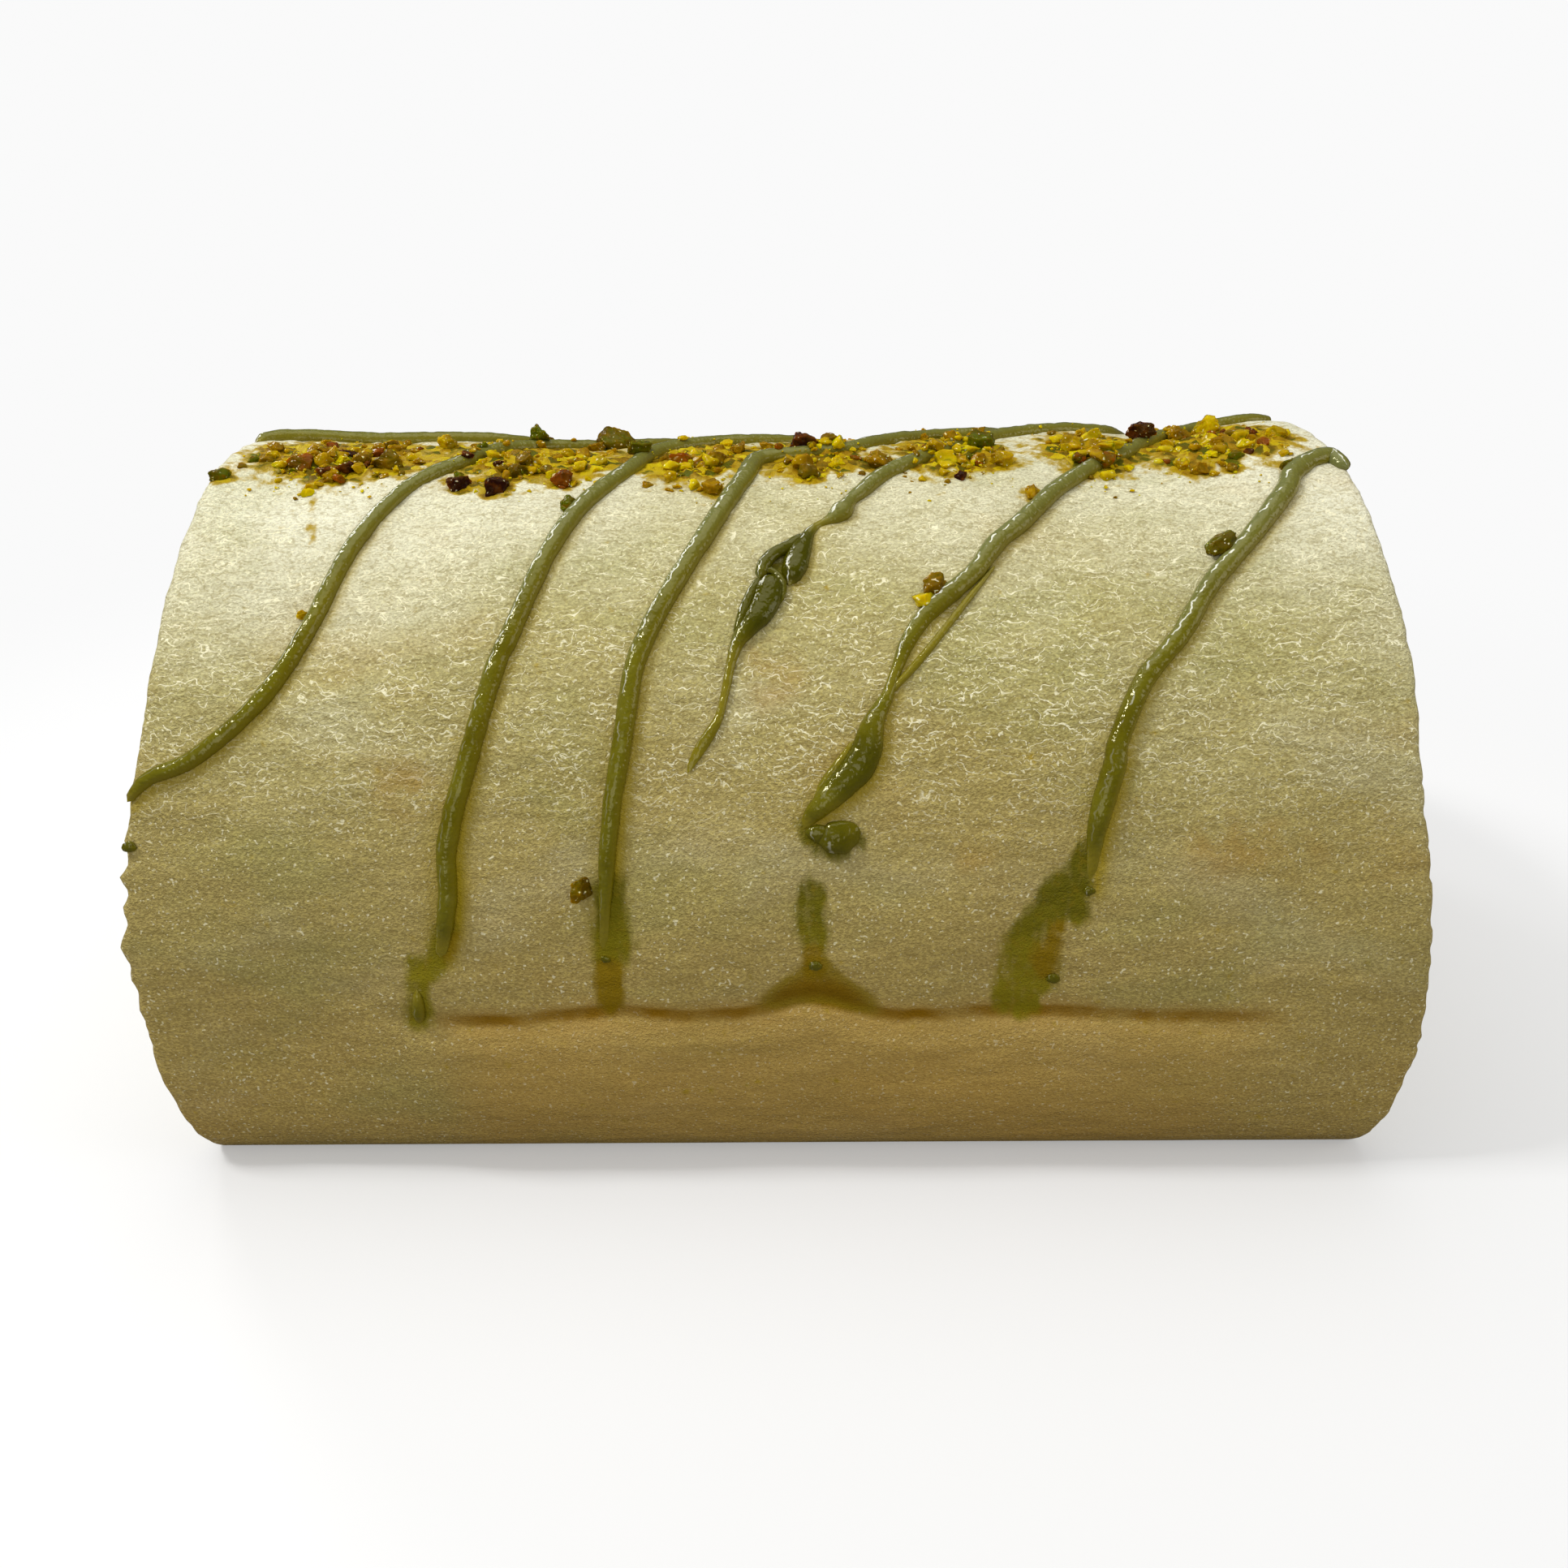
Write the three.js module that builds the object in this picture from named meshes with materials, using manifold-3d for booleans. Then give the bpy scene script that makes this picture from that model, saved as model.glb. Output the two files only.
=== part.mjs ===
// A pistachio meringue roulade: a thick log of rolled meringue that lies on its flat base,
// with slanting strokes of piped pistachio cream across its back and chopped pistachios
// along its crest. Millimetres, +Z up. X runs along the roll and -Y is its front. The
// origin is the middle of the base.

import * as THREE from "three";
import { mergeVertices } from "three/addons/utils/BufferGeometryUtils.js";
import Module from "manifold-3d";

// Driving sizes of the roll. A place on its skin is given by x and by its turn round the
// section, in degrees: 0 at the crest, 90 at the front, -90 at the back, 180 underneath.
const halfWidth = 67;
const crestHeight = 103.6; // where it is lowest; it rises a little to both ends
const middleHeight = 36; // where the sides are upright
const topRoundness = 2.05;
const footRoundness = 4.5;
const footDepth = 44; // the lower half would reach this far down if the base didn't cut it
const leftReach = 95.6; // from the middle to the left cut end, up at the crest
const leftBelly = 5.3; // how much further it reaches at the widest height
const rightReach = 92.6;
const rightBelly = 8.1;
const faceReach = 99; // to the middle of each cut end
const footTuck = 3.2; // how far the ends draw in again at the base

// The crease low on the front, where the last turn of the sheet ends.
const seamTurn = 93.4;
const seamDepth = 1.2;
const seamWidth = 2.2; // in degrees
const lipSwell = 1.1; // how far the sheet stands out below the crease

// The groove between the turns of the rolled sheet, on both cut ends.
const sheetTurns = 2;
const grooveRadius = 1.5;

const roundFacets = 44;
const seamFacet = 14; // this facet edge, counted from the crest, lies along the crease
const baseFacet = 19; // and past this one the skin is the flat base
const creamSides = 6;
const creamStep = 7.5;
const creamSink = 0.12; // the cream's middle stands this share of its width above the skin

const rad = THREE.MathUtils.degToRad;

// The same number between 0 and 1 each time for one seed.
function chance(seed) {
  const value = Math.sin(seed * 127.1 + 3.7) * 43758.5453;
  return value - Math.floor(value);
}

// Rises smoothly from 0 at low to 1 at high.
function ease(value, low, high) {
  const t = THREE.MathUtils.clamp((value - low) / (high - low), 0, 1);
  return t * t * (3 - 2 * t);
}

function bell(distance, width) {
  return Math.exp(-((distance / width) ** 2));
}

// How far the roll reaches from its middle to the cut end, at one turn of the section.
function endReach(turn, side) {
  const bend = Math.abs(turn);
  const tuck = footTuck * ease(bend, 98, 124);
  if (side < 0) return leftReach + 0.7 * (1 - ease(bend, 6, 22)) + leftBelly * ease(bend, 42, 88) - tuck;
  return rightReach + rightBelly * (0.2 * ease(bend, 26, 50) + 0.8 * ease(bend, 50, 104)) - tuck;
}

// The same reach inside the section: the cut end bulges a little towards its middle.
function endFace(turn, side, share) {
  const outer = ease(share, 0.36, 0.93);
  return endReach(turn, side) * outer + faceReach * (1 - outer);
}

// The crease rises in two soft peaks below the runs of cream.
function seamAt(x) {
  return seamTurn - 3.1 * bell(x - 4.4, 8) - 0.9 * bell(x + 28, 9) + 0.35 * Math.sin(x / 9);
}

// Soft hollows and swells of the baked sheet, with the crease and the lip below it.
function unevenness(x, turn) {
  const t = rad(turn);
  const swell =
    0.45 * Math.sin(x / 17 + 2.1 * t) * Math.cos(3 * t + 0.6) +
    0.3 * Math.sin(x / 9.5 - 4 * t + 1.3) +
    0.2 * Math.sin(x / 5.7 + 7 * t);
  const below = turn - seamAt(x);
  const along = ease(x, -67, -51) * (1 - ease(x, 61, 83));
  const lip = lipSwell * ease(below, 0, 5) * (1 - ease(below, 12, 22));
  const crease = lip - seamDepth * bell(below, seamWidth);
  return swell * (1 - ease(Math.abs(turn), 100, 116)) + crease * along;
}

// Radius of the section, from its middle height to the skin.
function sectionRadius(x, turn) {
  const across = Math.abs(Math.sin(rad(turn)));
  const up = Math.cos(rad(turn));
  const crest = crestHeight + 1.4 * ease(-x, 70, 96) + 1.3 * ease(x, -30, 70) + 3.1 * ease(x, 64, 90);
  const tall = up >= 0 ? crest - middleHeight : footDepth;
  const power = up >= 0 ? topRoundness : footRoundness;
  return ((across / halfWidth) ** power + (Math.abs(up) / tall) ** power) ** (-1 / power);
}

// A point on the skin, or inside it where share is below 1.
function rollPoint(x, turn, share = 1) {
  const radius = (sectionRadius(x, turn) + unevenness(x, turn)) * share;
  const y = -radius * Math.sin(rad(turn));
  const z = Math.max(0, middleHeight + radius * Math.cos(rad(turn)));
  return new THREE.Vector3(x, y, z);
}

function rollNormal(x, turn) {
  const alongX = rollPoint(x + 1, turn).sub(rollPoint(x - 1, turn));
  const round = rollPoint(x, turn + 1).sub(rollPoint(x, turn - 1));
  return alongX.cross(round).normalize().negate();
}

// One closed solid from a geometry whose shared vertices are merged.
function solidOf(wasm, geometry) {
  const plain = geometry.clone();
  plain.deleteAttribute("normal");
  plain.deleteAttribute("uv");
  const merged = mergeVertices(plain, 1e-3);
  return new wasm.Manifold(
    new wasm.Mesh({
      numProp: 3,
      vertProperties: merged.attributes.position.array,
      triVerts: new Uint32Array(merged.index.array),
    }),
  );
}

// Moves every vertex of a geometry by a rule from its old place to its new one.
function remap(geometry, rule) {
  const position = geometry.attributes.position;
  const place = new THREE.Vector3();
  for (let i = 0; i < position.count; i++) {
    place.fromBufferAttribute(position, i);
    position.setXYZ(i, ...rule(place).toArray());
  }
  return geometry;
}

// The turn of a facet edge, so that the facets are small where the section curves.
function facetTurn(x, facet) {
  const count = Math.abs(facet);
  const step = seamTurn / seamFacet;
  const base = baseFacet * step;
  const wide = (180 - base) / (roundFacets / 2 - baseFacet);
  const turn = Math.sign(facet) * (Math.min(count, baseFacet) * step + Math.max(0, count - baseFacet) * wide);
  return turn + (seamAt(x) - seamTurn) * bell(turn - seamTurn, 10);
}

// The log: a lathe of unit radius and half length, stretched onto the section and its ends.
function rollBody(wasm) {
  const face = [0, 0.36, 0.7, 0.93];
  const edge = [[0.99, 0.994], [1, 0.981]];
  const stations = 24;
  const profile = face.map((share) => new THREE.Vector2(share, -1));
  edge.forEach(([share, along]) => profile.push(new THREE.Vector2(share, -along)));
  for (let i = 1; i < stations; i++) {
    profile.push(new THREE.Vector2(1, edge[1][1] * ((2 * i) / stations - 1)));
  }
  [...edge].reverse().forEach(([share, along]) => profile.push(new THREE.Vector2(share, along)));
  [...face].reverse().forEach((share) => profile.push(new THREE.Vector2(share, 1)));
  const log = new THREE.LatheGeometry(profile, roundFacets);
  remap(log, (place) => {
    const share = Math.hypot(place.x, place.z);
    const angle = share > 1e-6 ? Math.atan2(place.x, place.z) : 0;
    const turn = facetTurn(place.y * faceReach, (angle / (2 * Math.PI)) * roundFacets);
    return rollPoint(place.y * endFace(turn, Math.sign(place.y), share), turn, share);
  });
  return solidOf(wasm, log);
}

// A smooth line through control points of the form [x, turn, width].
function smoothStroke(points) {
  const places = new THREE.CatmullRomCurve3(
    points.map(([x, turn]) => rollPoint(x, turn)),
    false,
    "centripetal",
  );
  const count = Math.max(4, Math.round(places.getLength() / creamStep));
  const rings = [];
  for (let i = 0; i <= count; i++) {
    const position = places.getUtoTmapping(i / count) * (points.length - 1);
    const k = Math.min(Math.floor(position), points.length - 2);
    const [before, start, end, after] = [k - 1, k, k + 1, k + 2].map(
      (index) => points[THREE.MathUtils.clamp(index, 0, points.length - 1)],
    );
    const t = position - k;
    const value = (n) =>
      0.5 *
      (2 * start[n] +
        (end[n] - before[n]) * t +
        (2 * before[n] - 5 * start[n] + 4 * end[n] - after[n]) * t * t +
        (3 * start[n] - before[n] - 3 * end[n] + after[n]) * t * t * t);
    rings.push({ x: value(0), turn: value(1), width: Math.max(value(2), 0.5) });
  }
  return rings;
}

// A bead of cream: a cylinder bent along the stroke and as wide as the stroke is there.
function creamBead(wasm, points) {
  const rings = smoothStroke(points);
  const last = rings.length - 1;
  const frames = rings.map((ring) => {
    const normal = rollNormal(ring.x, ring.turn);
    const middle = rollPoint(ring.x, ring.turn).addScaledVector(normal, creamSink * ring.width);
    return { middle, normal, half: ring.width / 2 };
  });
  frames.forEach((frame, i) => {
    const from = frames[Math.max(i - 1, 0)].middle;
    const to = frames[Math.min(i + 1, last)].middle;
    frame.side = to.clone().sub(from).normalize().cross(frame.normal).normalize();
  });
  const bead = new THREE.CylinderGeometry(1, 1, last, creamSides, last, false, Math.PI / creamSides);
  remap(bead, (place) => {
    const frame = frames[Math.round(place.y + last / 2)];
    return frame.middle
      .clone()
      .addScaledVector(frame.side, place.x * frame.half)
      .addScaledVector(frame.normal, place.z * frame.half);
  });
  return solidOf(wasm, bead);
}

// The seven strokes of cream, each from its low front end over the crest and down the back.
const creamStrokes = [
  [[-95.4, -6, 1.8], [-92, -9, 3.2], [-84, -12, 3.4], [-72, -13, 3.4], [-60, -15, 3.4],
    [-49, -20, 3.3], [-39, -33, 3.3], [-33, -50, 3.4], [-30, -68, 3.2], [-29, -82, 1.4]],
  [[-97.8, 62.9, 1.4], [-94.2, 59.9, 2.6], [-87.2, 57.2, 2.9], [-78, 49.8, 3], [-72, 39.2, 3.1],
    [-68.1, 25.9, 3.1], [-62.7, 13.8, 3], [-55.5, 4.9, 3.4], [-50, -3, 3.4], [-42, -9, 3.5],
    [-33, -13, 3.5], [-23, -18, 3.5], [-13, -29, 3.4], [-6, -46, 3.4], [-2, -66, 3.2], [0, -84, 1.4]],
  [[-52.9, 83.4, 1.4], [-51.6, 77, 2.9], [-50.7, 68.4, 3.4], [-47.8, 59.4, 3.4], [-43.8, 46.6, 3.4],
    [-41.1, 40.1, 3.3], [-37.9, 31, 3.3], [-33.3, 19.6, 3.4], [-26.3, 6.9, 3.6], [-22.5, -2.3, 3.8],
    [-14, -9, 3.7], [-5, -13, 3.6], [4, -18, 3.5], [13, -32, 3.4], [19, -50, 3.4], [22, -68, 3.2],
    [22.5, -82, 1.4]],
  [[-27.8, 83, 1.2], [-27, 72.7, 2.7], [-25.9, 63.9, 3.1], [-23.9, 53.4, 3.4], [-22.3, 44.9, 3.4],
    [-18.2, 35.9, 3.5], [-12.6, 25.1, 3.6], [-6.9, 12.1, 3.8], [-4.1, 4.8, 3.9], [4, 3.6, 3.4],
    [11, 2, 3.4], [18, -4, 3.5], [28, -11, 3.6], [37, -14.5, 3.6], [44, -26, 3.5], [49, -46, 3.4],
    [52, -66, 3.2], [53, -84, 1.4]],
  [[-14.5, 59.2, 0.7], [-13, 56.9, 2.2], [-9.7, 51.1, 1.5], [-6.9, 43.2, 2.5], [-4.9, 39.2, 3.5],
    [-2.3, 35.1, 4.8], [-1.2, 30.9, 4.6], [4.3, 24, 2.6], [8.3, 21.2, 3.7], [10, 17.7, 1.9],
    [12.9, 15, 3.2], [17.1, 11.1, 3.5], [22.1, 6.9, 3.6], [32, -1.5, 3.7], [42, -9, 3.6],
    [52, -13, 3.5], [61, -17, 3.5], [68, -28, 3.4], [72.5, -43, 3.4], [76, -60, 3.3], [77, -78, 1.4]],
  [[3.2, 66.2, 1.9], [5.3, 64.5, 3.4], [8, 62.3, 4.3], [10.4, 60, 5.3], [12.4, 57, 5.1],
    [12.9, 53.5, 3.9], [14.6, 50.9, 2.7], [15.9, 47.6, 1.4], [18.4, 42.9, 2.7], [21.1, 39.6, 3.2],
    [24.9, 36.2, 3.5], [29.5, 32.5, 3.5], [33.1, 27.8, 3.6], [37.8, 23.5, 3.6], [45.8, 14.8, 3.5],
    [55.5, 6.7, 3.6], [60, 3.2, 3.6], [68, -5, 3.6], [78, -11, 3.4], [86, -13, 3.3], [91.4, -15, 2]],
  [[39.4, 80, 2.6], [40.6, 76.6, 5.4], [43.1, 72.4, 4.1], [45, 65.9, 3.1], [48.7, 59.6, 3.4],
    [49.1, 55.2, 3.4], [53.6, 48.3, 3.4], [59.9, 41.9, 3.4], [65.6, 34.6, 3.5], [73.3, 27.3, 3.6],
    [80.1, 20, 3.9], [82.4, 16.2, 4], [86.3, 13.2, 4], [90.1, 12.1, 3.8], [91.9, 15.2, 2.4]],
];

// Dabs that broke off the strokes: [x, turn, width].
const creamDabs = [
  [6.8, 68, 3.6], [4, 75, 3.4], [4.1, 80, 3], [-57.2, 91.5, 3], [36, 87.4, 2.5],
];

// The largest pistachio pieces, by where they lie: [x, turn, length, thickness, heading].
const pistachioChunks = [
  [-31, -12, 8, 4.6, 8], [3.6, 1.6, 6.2, 4.8, 20], [8.2, 1.4, 5, 4.6, 70], [-44.6, -8, 4.8, 3.8, 0],
  [-94, 11.6, 4.2, 2.4, 5], [-82.6, 6.4, 4.8, 3.6, 60], [-67.9, 6, 6, 4, 15], [-76.6, 1.5, 4.8, 2.2, 160],
  [-72.6, 5, 4, 3, 40], [-59.7, -3, 4, 3.4, 80], [-54.1, 12.6, 4.4, 2.8, 20], [-47.9, 14.2, 5.4, 3.6, 75],
  [-45.5, 9, 4.4, 2.8, 150], [-37.1, 12, 4.2, 3, 60], [-32.1, 4.6, 4, 2.4, 0], [-17.6, 4.5, 4.6, 3.4, 30],
  [-11.7, 4.2, 4.4, 3.4, 85], [-25.1, 1.6, 5, 2.8, 25], [16.4, 8.4, 5.2, 3.6, 10], [34.4, 0.8, 5, 4.6, 80],
  [36.7, 7.8, 4.4, 3.2, 60], [49.9, 2, 5, 3.6, 120], [53.9, -1.4, 4.2, 3.4, 0], [62.5, 0, 4.6, 3.6, 45],
  [70.3, -3, 4.4, 3.8, 90], [76.1, -5.6, 5.2, 4.4, 100], [80.3, 1.8, 4, 2.6, 20], [84.9, 3, 4, 2.6, 30],
  [22.9, 35.2, 4.6, 3.2, 65], [21.3, 37.2, 3.6, 2.8, 10], [68, 28.8, 6, 2.6, 40], [-30.7, 74.5, 4.2, 2.8, 80],
  [40.4, 17.1, 3.4, 2, 60], [-35.1, 18.9, 3.4, 2.2, 50], [-73.8, 38.3, 1.8, 1.4, 0],
];

// Smaller pieces strewn along the crest by clusters: [middle x, spread, how many].
const pistachioClusters = [
  [-77.1, 15, 9], [-43.1, 14, 9], [-15.1, 9, 6], [4.9, 9, 5], [28.9, 9, 5], [52.9, 8, 4], [74.9, 12, 8],
];

function pistachioPiece(wasm, x, turn, length, thickness, heading, seed) {
  const piece = length > 3.9 ? new THREE.IcosahedronGeometry(1) : new THREE.OctahedronGeometry(1.1);
  remap(piece, (place) => {
    const corner = Math.round(place.x * 7 + place.y * 11 + place.z * 13);
    const size = 0.84 + 0.32 * chance(seed * 31 + corner);
    return new THREE.Vector3(
      (place.x * size * length) / 2,
      (place.y * size * (length + thickness)) / 4,
      (place.z * size * thickness) / 2,
    );
  });
  const up = rollNormal(x, turn);
  const spin = new THREE.Quaternion().setFromAxisAngle(new THREE.Vector3(0, 0, 1), rad(heading));
  const stand = new THREE.Quaternion().setFromUnitVectors(new THREE.Vector3(0, 0, 1), up);
  const middle = rollPoint(x, turn).addScaledVector(up, 0.2 * thickness);
  piece.applyQuaternion(spin).applyQuaternion(stand).translate(...middle.toArray());
  return solidOf(wasm, piece);
}

function strewnPistachios(wasm) {
  const pieces = [];
  let seed = 0;
  for (const [middle, spread, count] of pistachioClusters) {
    for (let i = 0; i < count; i++) {
      seed += 1;
      const x = middle + spread * (chance(seed) + chance(seed + 0.3) - 1);
      const turn = 1 + 17 * (chance(seed + 0.5) + chance(seed + 0.7) - 1);
      const length = 2.4 + 1.5 * chance(seed + 0.9);
      const thickness = length * (0.55 + 0.3 * chance(seed + 0.2));
      pieces.push(pistachioPiece(wasm, x, turn, length, thickness, 180 * chance(seed + 0.4), seed));
    }
  }
  return pieces;
}

// A small round lump half sunk in the skin.
function lump(wasm, x, turn, width) {
  const ball = new THREE.IcosahedronGeometry(width / 2);
  ball.translate(...rollPoint(x, turn).toArray());
  return solidOf(wasm, ball);
}

// Torn flecks of meringue on the left edge: [turn, width].
const tornFlecks = [[72, 2.2], [76.5, 3], [82, 2.4], [85.5, 3.2]];

// The groove on one cut end, as a rod wound into a spiral from the crease inwards.
function spiralGroove(wasm, side) {
  const steps = 40;
  const route = [];
  for (let i = 0; i <= steps; i++) {
    const wound = 0.3 + (sheetTurns - 0.34) * (i / steps);
    const turn = ((wound * 360 + seamTurn + 180) % 360) - 180;
    const share = wound / sheetTurns;
    const place = rollPoint(side * endFace(turn, side, share), turn, share);
    route.push(place.setZ(Math.max(place.z, grooveRadius + 2.5)));
  }
  const ring = new THREE.Shape().absarc(0, 0, grooveRadius, 0, 2 * Math.PI);
  const curve = new THREE.CatmullRomCurve3(route);
  const rod = new THREE.ExtrudeGeometry(ring, { steps, curveSegments: 2, extrudePath: curve });
  return solidOf(wasm, rod);
}

const wasm = await Module();
wasm.setup();

const toppings = [
  ...creamStrokes.map((points) => creamBead(wasm, points)),
  ...creamDabs.map((dab) => lump(wasm, ...dab)),
  ...tornFlecks.map(([turn, width]) => lump(wasm, 1.4 - endReach(turn, -1), turn, width)),
  ...pistachioChunks.map((chunk, i) => pistachioPiece(wasm, ...chunk, 500 + i)),
  ...strewnPistachios(wasm),
];
let cake = rollBody(wasm);
for (const side of [-1, 1]) cake = cake.subtract(spiralGroove(wasm, side));
for (const topping of toppings) cake = cake.add(topping);
// Pockets shut in between two pistachios are filled: only the outer skin is kept.
const [skin] = cake.decompose().sort((a, b) => b.volume() - a.volume());

const { vertProperties, triVerts } = skin.getMesh();
const geometry = new THREE.BufferGeometry();
geometry.setAttribute("position", new THREE.BufferAttribute(vertProperties, 3));
geometry.setIndex(new THREE.BufferAttribute(triVerts, 1));
geometry.computeVertexNormals();

const meringue = new THREE.MeshStandardMaterial({ color: 0xe6d7ae, roughness: 0.45, metalness: 0 });
const roulade = new THREE.Mesh(geometry, meringue);
roulade.name = "meringue_roulade";

const group = new THREE.Group();
group.add(roulade);
export default group;
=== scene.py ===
import math
from itertools import combinations

import bpy
import numpy as np
from mathutils import Matrix, Vector, kdtree, noise


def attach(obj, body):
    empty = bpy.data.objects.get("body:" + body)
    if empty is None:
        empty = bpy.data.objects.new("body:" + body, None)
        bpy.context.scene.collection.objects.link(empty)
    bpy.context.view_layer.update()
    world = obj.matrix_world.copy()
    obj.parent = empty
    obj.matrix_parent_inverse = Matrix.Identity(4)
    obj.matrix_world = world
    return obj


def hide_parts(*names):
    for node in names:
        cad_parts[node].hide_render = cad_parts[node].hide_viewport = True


# A pistachio meringue roulade: a thick roll of meringue on its flat base, with slanting
# strokes of piped pistachio cream across it and chopped pistachios along its crest.
# Sizes are in millimetres up to where a mesh is made. X runs along the roll, -Y is the
# front. "turn" goes round the section in degrees: 0 at the crest, 90 at the front.

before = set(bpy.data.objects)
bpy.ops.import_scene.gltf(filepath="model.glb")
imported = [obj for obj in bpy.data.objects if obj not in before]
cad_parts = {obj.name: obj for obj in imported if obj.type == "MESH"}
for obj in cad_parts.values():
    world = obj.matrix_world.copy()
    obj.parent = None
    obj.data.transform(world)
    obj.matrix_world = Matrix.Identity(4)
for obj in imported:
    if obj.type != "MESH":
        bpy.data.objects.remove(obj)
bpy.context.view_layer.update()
mm = 0.001
rollNode = "meringue_roulade"


def chance(seed):
    value = np.sin(seed * 127.1 + 3.7) * 43758.5453
    return value - np.floor(value)


def ease(value, low, high):
    t = np.clip((value - low) / (high - low), 0, 1)
    return t * t * (3 - 2 * t)


def bell(distance, width):
    return np.exp(-((distance / width) ** 2))


def cloudAt(points, size, octaves=3, shift=0.0):
    # soft noise between about -1 and 1 at an array of points, with blobs of the given size
    places = (np.asarray(points) / size + shift).tolist()
    return np.array([noise.fractal(place, 1.0, 2.0, octaves) for place in places])


# The roll's own shape: its section and its two cut ends.
roll = {
    "halfWidth": 67.0,
    "crestHeight": 103.6,
    "middleHeight": 36.0,
    "topRoundness": 2.05,
    "footRoundness": 4.5,
    "footDepth": 44.0,
    "leftReach": 95.6,
    "leftBelly": 5.3,
    "rightReach": 92.6,
    "rightBelly": 8.1,
    "faceReach": 99.0,
    "footTuck": 3.2,
    "rimRadius": 1.7,
    "seamTurn": 93.4,
    "seamDepth": 0.45,
    "seamWidth": 1.1,
    "lipSwell": 1.1,
    "sheetTurns": 2.0,
    "grooveDepth": 1.275,
    "grooveWidth": 1.1,
}


def endReach(turn, side):
    bend = np.abs(turn)
    left = roll["leftReach"] + 0.7 * (1 - ease(bend, 6, 22)) + roll["leftBelly"] * ease(bend, 42, 88)
    fuller = 0.2 * ease(bend, 26, 50) + 0.8 * ease(bend, 50, 104)
    right = roll["rightReach"] + roll["rightBelly"] * fuller
    return np.where(np.asarray(side) < 0, left, right) - roll["footTuck"] * ease(bend, 98, 124)


def endFace(turn, side, share):
    outer = ease(share, 0.36, 0.93)
    return endReach(turn, side) * outer + roll["faceReach"] * (1 - outer)


def seamAt(x):
    return roll["seamTurn"] - 3.1 * bell(x - 4.4, 8) - 0.9 * bell(x + 28, 9) + 0.35 * np.sin(x / 9)


def seamAlong(x):
    return ease(x, -67, -51) * (1 - ease(x, 61, 83))


def unevenness(x, turn):
    t = np.radians(turn)
    swell = (0.45 * np.sin(x / 17 + 2.1 * t) * np.cos(3 * t + 0.6)
             + 0.3 * np.sin(x / 9.5 - 4 * t + 1.3) + 0.2 * np.sin(x / 5.7 + 7 * t))
    below = turn - seamAt(x)
    lip = roll["lipSwell"] * ease(below, 0, 5) * (1 - ease(below, 12, 22))
    crease = lip - roll["seamDepth"] * bell(below, roll["seamWidth"])
    return swell * (1 - ease(np.abs(turn), 100, 116)) + crease * seamAlong(x)


def sectionRadius(x, turn):
    across, up = np.abs(np.sin(np.radians(turn))), np.cos(np.radians(turn))
    crest = roll["crestHeight"] + 1.4 * ease(-x, 70, 96)
    crest = crest + 1.3 * ease(x, -30, 70) + 3.1 * ease(x, 64, 90)
    tall = np.where(up >= 0, crest - roll["middleHeight"], roll["footDepth"])
    power = np.where(up >= 0, roll["topRoundness"], roll["footRoundness"])
    return ((across / roll["halfWidth"]) ** power + (np.abs(up) / tall) ** power) ** (-1 / power)


def rollPoint(x, turn, share=1.0, lift=0.0):
    radius = (sectionRadius(x, turn) + unevenness(x, turn) + lift) * share
    t = np.radians(turn)
    y, z = -radius * np.sin(t), roll["middleHeight"] + radius * np.cos(t)
    return np.stack(np.broadcast_arrays(x + 0 * radius, y, np.maximum(z, 0)), axis=-1)


def rollNormal(x, turn):
    alongX = rollPoint(x + 1, turn) - rollPoint(x - 1, turn)
    around = rollPoint(x, turn + 1) - rollPoint(x, turn - 1)
    normal = -np.cross(alongX, around)
    return normal / np.linalg.norm(normal, axis=-1, keepdims=True)


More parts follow.
